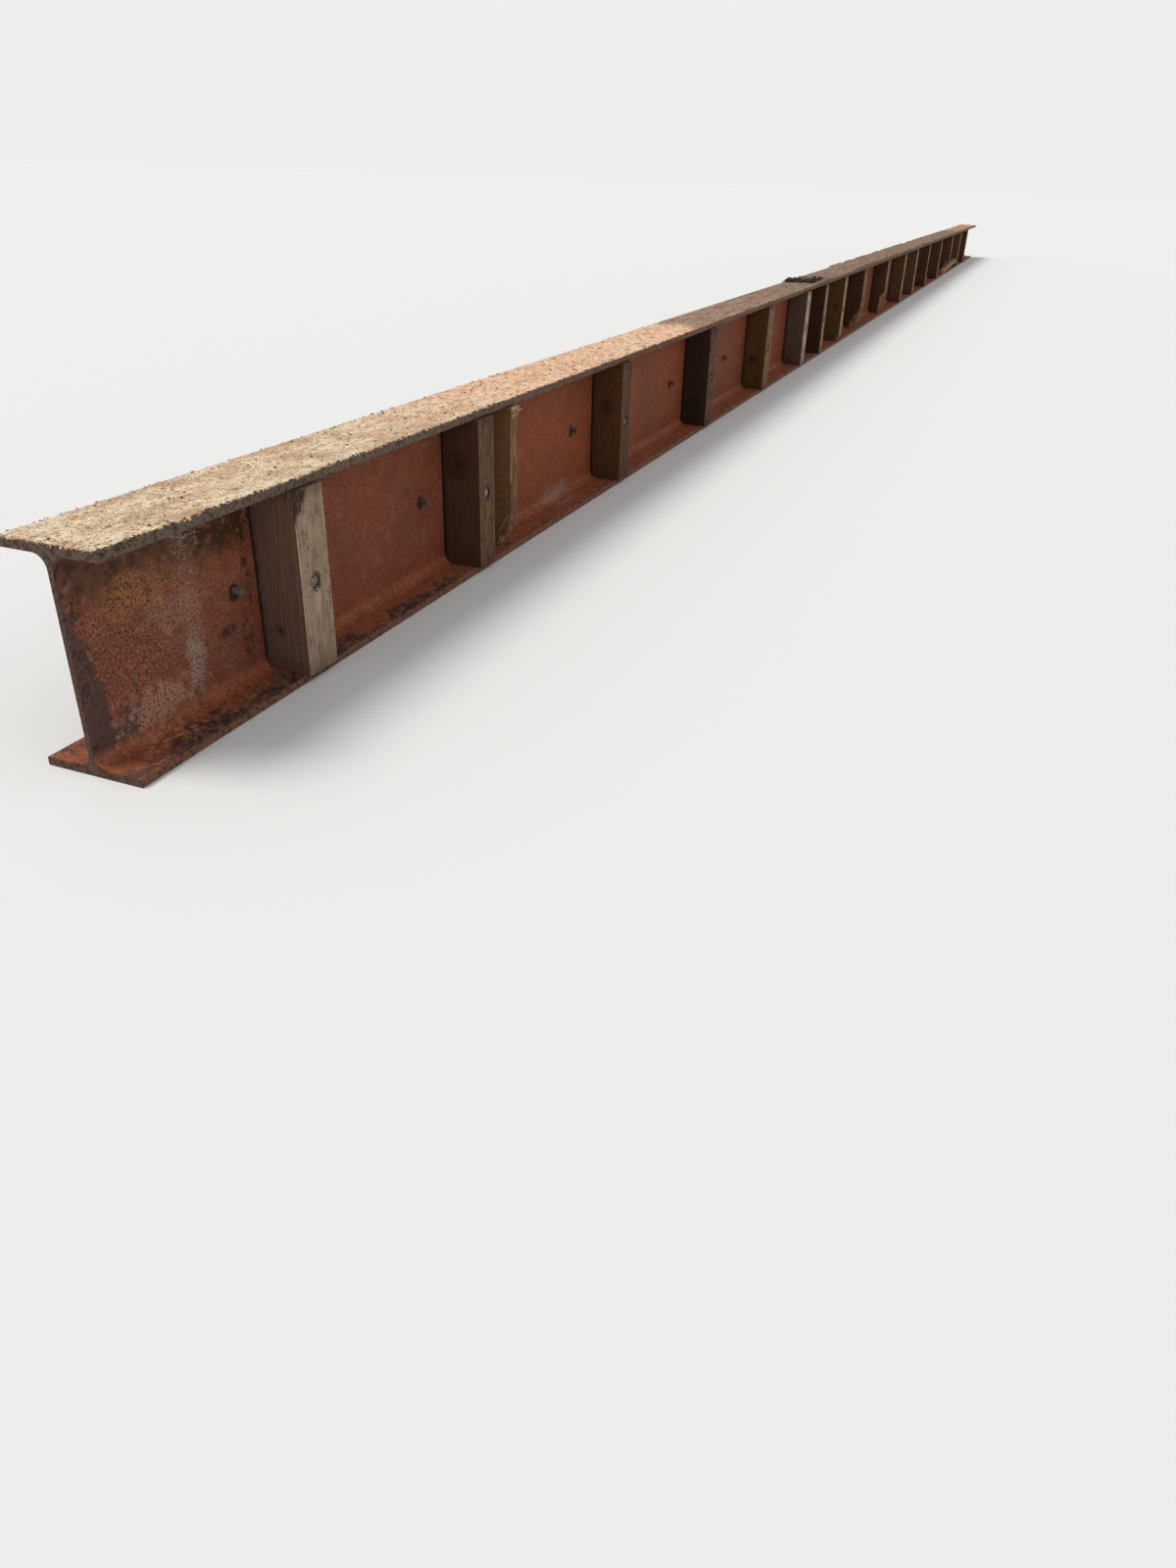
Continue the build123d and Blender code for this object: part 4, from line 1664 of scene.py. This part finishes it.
def bolt_profile():
    """From the top of the dome down to the point. The head's underside is at height 0."""
    profile = [(0.0, HEAD_RIM + HEAD_DOME, 0.0)]
    for step in range(1, DOME_STEPS + 1):
        turn = step / DOME_STEPS * math.pi / 2
        profile.append((HEAD_RADIUS * math.sin(turn), HEAD_RIM + HEAD_DOME * math.cos(turn), 0.0))
    profile += [(HEAD_RADIUS, CHAMFER, 0.0), (HEAD_RADIUS - CHAMFER, 0.0, 0.0),
                (SHANK_RADIUS, 0.0, 0.0)]
    inwards, upwards = BOLT_POINT
    thread_steps = round(THREAD_LENGTH / THREAD_PITCH * ROWS_A_THREAD)
    for step in range(thread_steps + 1):
        down = BOLT_REACH - upwards - THREAD_LENGTH + step * THREAD_LENGTH / thread_steps
        profile.append((SHANK_RADIUS, -down, THREAD_DEPTH if step else 0.0))
    profile += [(SHANK_RADIUS - inwards, -BOLT_REACH, 0.0), (0.0, -BOLT_REACH, 0.0)]
    return profile


bolt_shape = lathe("bolt_shape", bolt_profile(), BOLT_TURNS)

# %% [markdown]
# ## The bolts' finish
#
# The heads are worn steel, grey between dirt and rust. The ends that stand out of the web are
# rustier, and from the second on they are dark brown. Both are one material, which tells them apart
# by their distance from the middle of the beam. Two materials would need faces of their own, and
# the point rule gives all of its copies one.

# %% Bolt finish
BOLT_DARK = rgb(0.10, 0.096, 0.078)
BOLT_PALE = rgb(0.27, 0.262, 0.212)
END_BROWN = rgb(0.10, 0.066, 0.048)
END_DARK = rgb(0.078, 0.050, 0.036)


def bolt_finish():
    bolt = Finish("old_bolt")
    dirt = bolt.noise(bolt.spot, 320.0, 5.0, 0.6)
    bolt.colour = bolt.mix(bolt.ramp(dirt, 0.36, 0.62), BOLT_DARK, BOLT_PALE)
    stub = bolt.ramp(bolt.size_of(bolt.out), 0.024, 0.021)
    bolt.lay_in(stub, (bolt.ramp(dirt, 0.42, 0.56), END_BROWN, 0.85),
                (bolt.ramp(bolt.along, 0.3, 0.5), END_DARK, 0.8))
    bolt.lay(bolt.specks(240.0, 0.52, 0.64, 4.0), RUST_BROWN, 0.7)
    bolt.lay(bolt.specks(500.0, 0.58, 0.66), SPECK, 0.7)
    return bolt.finish(bolt.ramp(dirt, 0.3, 0.7, 0.5, 0.75), dirt, 0.0005, metallic=0.25)


old_bolt = bolt_finish()
print("bolt finish with", len(old_bolt.node_tree.nodes), "nodes")

# %% [markdown]
# ## A bolt at every post
#
# One bolt goes through the middle of every post, half way up the beam. The point rule sets them,
# each turned by another angle about its axis, so the threads don't all begin alike. They take the
# place of the plain bolts of the CAD model, which other programs keep where they need simple forms.

# %% Bolts
RECESS_DEPTH = 0.005


def bolts_of(posts, side):
    bolts = Strewn(30 + side)
    for name in posts:
        middle, _ = post_middle(name)
        bolts.put(middle, side * (PACKER_FACE - RECESS_DEPTH), TOP / 2, (1.0, 1.0, 1.0),
                  (-side * math.pi / 2, bolts.between(-3.1, 3.1), 0.0))
    return bolts.mesh("bolt_base")


for side_name, side, posts in (("front", -1, front_posts), ("back", 1, back_posts)):
    bolts = run_rule(side_name + "_dressed_bolts", every_point, bolts_of(posts, side), "bolt_steel",
                     Shape=bolt_shape, Roughness=0.0008, Grain=90.0, Material=old_bolt)
    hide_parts(side_name + "_bolts")

# %% [markdown]
# ## The shape of a splinter
#
# A splinter is a thin tapering stalk with a slight bend. Three rings of five corners and a tip are
# enough, as it is copied many hundreds of times. A turn that points its axis along a direction is
# needed for all of them, and Blender's to_track_quat gives it.

# %% Splinter
SPLINTER_TURNS = (0.0, 1.3, 2.6, 3.9, 5.2)
SPLINTER_ROWS = ((0.0, 0.5, 0.0), (0.35, 0.46, 0.05), (0.7, 0.3, 0.16))
SPLINTER_TIP = (0.42, 0.0, 1.0)


def new_splinter():
    """Unit length along Z, and about unit width at its foot. A row is a height, a radius and how
    far the stalk has bent there."""
    form = bmesh.new()
    rings = []
    for height, radius, bend in SPLINTER_ROWS:
        rings.append([form.verts.new((radius * math.cos(turn) + bend, 0.6 * radius * math.sin(turn),
                                      height)) for turn in SPLINTER_TURNS])
    tip = form.verts.new(SPLINTER_TIP)
    sides = len(SPLINTER_TURNS)
    for low, high in zip(rings, rings[1:]):
        for step in range(sides):
            other = (step + 1) % sides
            form.faces.new((low[step], low[other], high[other], high[step]))
    for step in range(sides):
        form.faces.new((rings[-1][step], rings[-1][(step + 1) % sides], tip))
    form.faces.new(tuple(reversed(rings[0])))
    return keep_shape("splinter", form)


def pointing(x, y, z, spin):
    """The turn that points a shape's Z axis along a direction, with a spin about it."""
    aim = Vector((x, y, z)).to_track_quat("Z", "Y").to_matrix()
    return tuple((aim @ Matrix.Rotation(spin, 3, "Z")).to_euler("XYZ"))


splinter = new_splinter()
pale_fibre = shaded_finish("pale_fibre", rgb(0.17, 0.078, 0.040), rgb(0.50, 0.27, 0.155), 700.0)
# The tuft's fibre is a lighter copy of the torn fibre, which paints the light on the board's top.
tuft_fibre = shaded_finish("tuft_fibre", rgb(0.24, 0.130, 0.075), rgb(0.62, 0.420, 0.280), 700.0)
dark_fibre = shaded_finish("dark_fibre", rgb(0.045, 0.026, 0.016), rgb(0.20, 0.125, 0.075), 700.0)


def run_splinters(name, base, fibre):
    return run_rule(name, every_point, base, "old_timber", Shape=splinter, Roughness=0.0010,
                    Grain=200.0, Material=fibre)


# %% [markdown]
# ## Crushed fibres round the bolts' heads
#
# Each head was driven into the timber, and fibres stand up round its recess, the longest above and
# below it, because timber tears along its grain. A ring cut into the post would be too clean. So
# short splinters are set round every recess, each leaning its own way.

# %% Crushed fibres
CLOSE_POSTS = 6
FIBRES_CLOSE, FIBRES_FAR = 30, 12


def round_heads():
    rim = Strewn(41)
    for number, name in enumerate(front_posts):
        middle, _ = post_middle(name)
        for _ in range(FIBRES_CLOSE if number < CLOSE_POSTS else FIBRES_FAR):
            angle = rim.between(0.0, 2 * math.pi)
            reach = rim.between(0.0086, 0.0106)
            x, z = math.cos(angle), math.sin(angle)
            thick = rim.between(0.0006, 0.0016)
            length = rim.between(0.0016, 0.0032) * (1.0 + 0.8 * abs(z))
            lean = rim.between(-0.7, 0.25)
            rim.put(middle + reach * x, -PACKER_FACE + 0.0014, TOP / 2 + reach * z * 1.12,
                    (thick, thick, length), pointing(lean * x, -1.0, lean * z + rim.between(-0.3, 0.3),
                    rim.between(0, 6.0)))
    return rim.mesh("rim_base")


run_splinters("bolt_head_rims", round_heads(), dark_fibre)

# %% [markdown]
# ## Splinters on torn faces
#
# Four posts have torn feet, one has lost a corner and so has the board. Splinters stand on those
# torn faces. Their places aren't written down again, because the CAD model has them: torn
# faces slant, and sawn ones don't. The rounded inner corners slant as well, but they lie close to
# the web and are left out by that. A splinter must not run through a flange, so each is cut to the
# length that is left to it.

# %% Torn faces
SLANT = 0.12
CLEAR_OF_CORNERS = 0.021
ROOTED = 0.003


def slanting_faces(node):
    """The torn faces of a CAD node: for each its area, its corners in the frame and its normal."""
    mesh = nodes[node].data
    place = nodes[node].matrix_world
    found = []
    for face in mesh.polygons:
        normal = place.to_3x3() @ face.normal
        corners = [place @ mesh.vertices[index].co for index in face.vertices]
        far_out = max(corner.y for corner in corners) < -CLEAR_OF_CORNERS
        if abs(normal.z) > SLANT and abs(normal.y) > SLANT and far_out:
            found.append((face.area, corners, normal))
    return found


def room_for(spot, root, down):
    """How far a splinter may reach: to the flange it points to, or to the ground past its edge."""
    if down < 0:
        return abs(root - (TOP - FLANGE))
    return abs(root - (FLANGE if spot.y > -HALF_WIDTH else 0.0))


def torn_places(node, per_area, fray, down=1.0, length=(0.004, 0.016), width=(0.0010, 0.0030)):
    """Splinters strewn over the torn faces, all pointing down or all pointing up."""
    for area, corners, normal in slanting_faces(node):
        for _ in range(max(1, round(area * per_area))):
            weights = [fray.between(0.0, 1.0) for _ in corners]
            total = sum(weights)
            spot = sum((w / total * c for w, c in zip(weights, corners)), Vector())
            spot = spot + normal * 0.0004
            thick = fray.between(*width)
            lean = (fray.between(-0.12, 0.12), fray.between(-0.15, 0.15) + 0.25 * normal.y, -down)
            root = spot.z + ROOTED * down
            long = min(fray.between(*length), room_for(spot, root, down))
            fray.put(spot.x - NEAR, spot.y, root, (thick, thick, long),
                     pointing(*lean, fray.between(0, 6.0)))


for name in front_posts + ["broken_board"]:
    if slanting_faces(name):
        print("torn faces of", name + ":", len(slanting_faces(name)))

# %% [markdown]
# ## The split board
#
# The thin board has split along its outer edge. Two slivers stand off it, and their fibres bend
# inwards to its broken foot. A single bent form for each would look like a rod. Each is a row of
# splinters that overlap up the edge, a bunch of them at the tear, and a chain that curves to the
# foot, link by link.

# %% Board slivers
SLIVERS_AT = (0.05, 0.60)
UP_THE_EDGE, AT_THE_TEAR, CHAIN_LINKS = 15, 9, 12


def sliver_up_the_edge(fray, along, low, high, torn_from):
    for step in range(UP_THE_EDGE):
        up = torn_from + (high.z - 0.028 - torn_from) * step / UP_THE_EDGE + fray.between(0.0, 0.008)
        fray.put(along + fray.between(-0.001, 0.001), low.y + 0.0004, up,
                 (fray.between(0.0026, 0.0044), 0.0024, fray.between(0.024, 0.050)),
                 pointing(fray.between(-0.06, 0.06), fray.between(-0.06, 0.02), 1.0,
                          fray.between(-0.3, 0.3)))


def bunch_at_the_tear(fray, along, low, torn_from):
    for _ in range(AT_THE_TEAR):
        fray.put(along + fray.between(-0.002, 0.002),
                 low.y + fray.between(0.0, 0.006), torn_from + fray.between(-0.008, 0.012),
                 (fray.between(0.0018, 0.0034), 0.0018, fray.between(0.022, 0.048)),
                 pointing(fray.between(-0.1, 0.1), fray.between(0.25, 0.6), -1.0,
                          fray.between(0, 6.0)))


def chain_to_the_foot(fray, along, low, torn_from):
    drop = torn_from + 0.010 - FLANGE
    for step in range(CHAIN_LINKS):
        bend = step / CHAIN_LINKS
        fray.put(along + fray.between(-0.0008, 0.0008), low.y + 0.001 + 0.040 * bend ** 1.6,
                 torn_from + 0.012 - drop * bend, (0.0032 - 0.0018 * bend, 0.0024, 0.012),
                 pointing(0.0, 0.2 + 0.9 * bend, -1.0, fray.between(-0.4, 0.4)))


def board_fray():
    fray = Strewn(43)
    low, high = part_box("broken_board")
    start, end = low.x - NEAR, high.x - NEAR
    torn_from = low.z + 0.22 * (high.z - low.z)
    for share in SLIVERS_AT:
        along = start + (end - start) * share
        sliver_up_the_edge(fray, along, low, high, torn_from)
        bunch_at_the_tear(fray, along, low, torn_from)
        chain_to_the_foot(fray, along, low, torn_from)
    torn_places("broken_board", 60000.0, fray)
    return fray.mesh("board_fray_base")


run_splinters("board_slivers", board_fray(), pale_fibre)

# %% [markdown]
# ## The board's tuft
#
# At its upper outer corner the board is frayed into a pale tuft, made lighter still by painted light
# on the board's top. Sixty splinters start from the last centimetre of the edge and lean outwards at
# random, which reads as a brush of fibres.

# %% Board tuft
TUFT_FIBRES = 60


def board_tuft():
    tuft = Strewn(46)
    low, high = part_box("broken_board")
    for _ in range(TUFT_FIBRES):
        tuft.put(tuft.between(low.x - NEAR + 0.001, high.x - NEAR - 0.001),
                 low.y + tuft.between(-0.0014, 0.0030), high.z - tuft.between(0.0, 0.010),
                 (tuft.between(0.0010, 0.0024), 0.0012, tuft.between(0.004, 0.013)),
                 pointing(tuft.between(-0.5, 0.5), tuft.between(-0.55, -0.1),
                          tuft.between(-0.9, 0.5), tuft.between(0, 6.0)))
    return tuft.mesh("tuft_base")


run_splinters("board_tuft", board_tuft(), tuft_fibre)

# %% [markdown]
# ## Torn feet and the chipped corner
#
# The broken feet hang in fibres, short ones everywhere and a few long thick ones. The first post
# has lost the top of its outer corner, and its fibres point upwards. Both are splinters by area
# over the torn faces, so a larger tear gets more of them.

# %% Torn posts
def torn_feet():
    fray = Strewn(44)
    for name in front_posts[1:]:
        torn_places(name, 26000.0, fray)
        torn_places(name, 8000.0, fray, length=(0.020, 0.048), width=(0.0030, 0.0065))
    return fray.mesh("torn_base")


def chipped_corner():
    fray = Strewn(45)
    torn_places(front_posts[0], 400000.0, fray, down=-1.0, length=(0.006, 0.018))
    return fray.mesh("chip_base")


run_splinters("torn_feet", torn_feet(), pale_fibre)
run_splinters("chipped_corner", chipped_corner(), dark_fibre)

# %% [markdown]
# ## Clearing up
#
# The shapes that were copied have done their work. They never stood in the scene, but Blender's
# list of objects still has them. They could stay there unseen, but a later step that goes through
# that list would take them for pieces, so they are removed.

# %% Remove the shapes
for shape in (stone, fine_stone, bolt_shape, splinter):
    bpy.data.objects.remove(shape)

# %% [markdown]
# ## The model's size
#
# What was added stands up to 15 mm past the CAD model, where the moss lies on top, and less than
# that elsewhere.
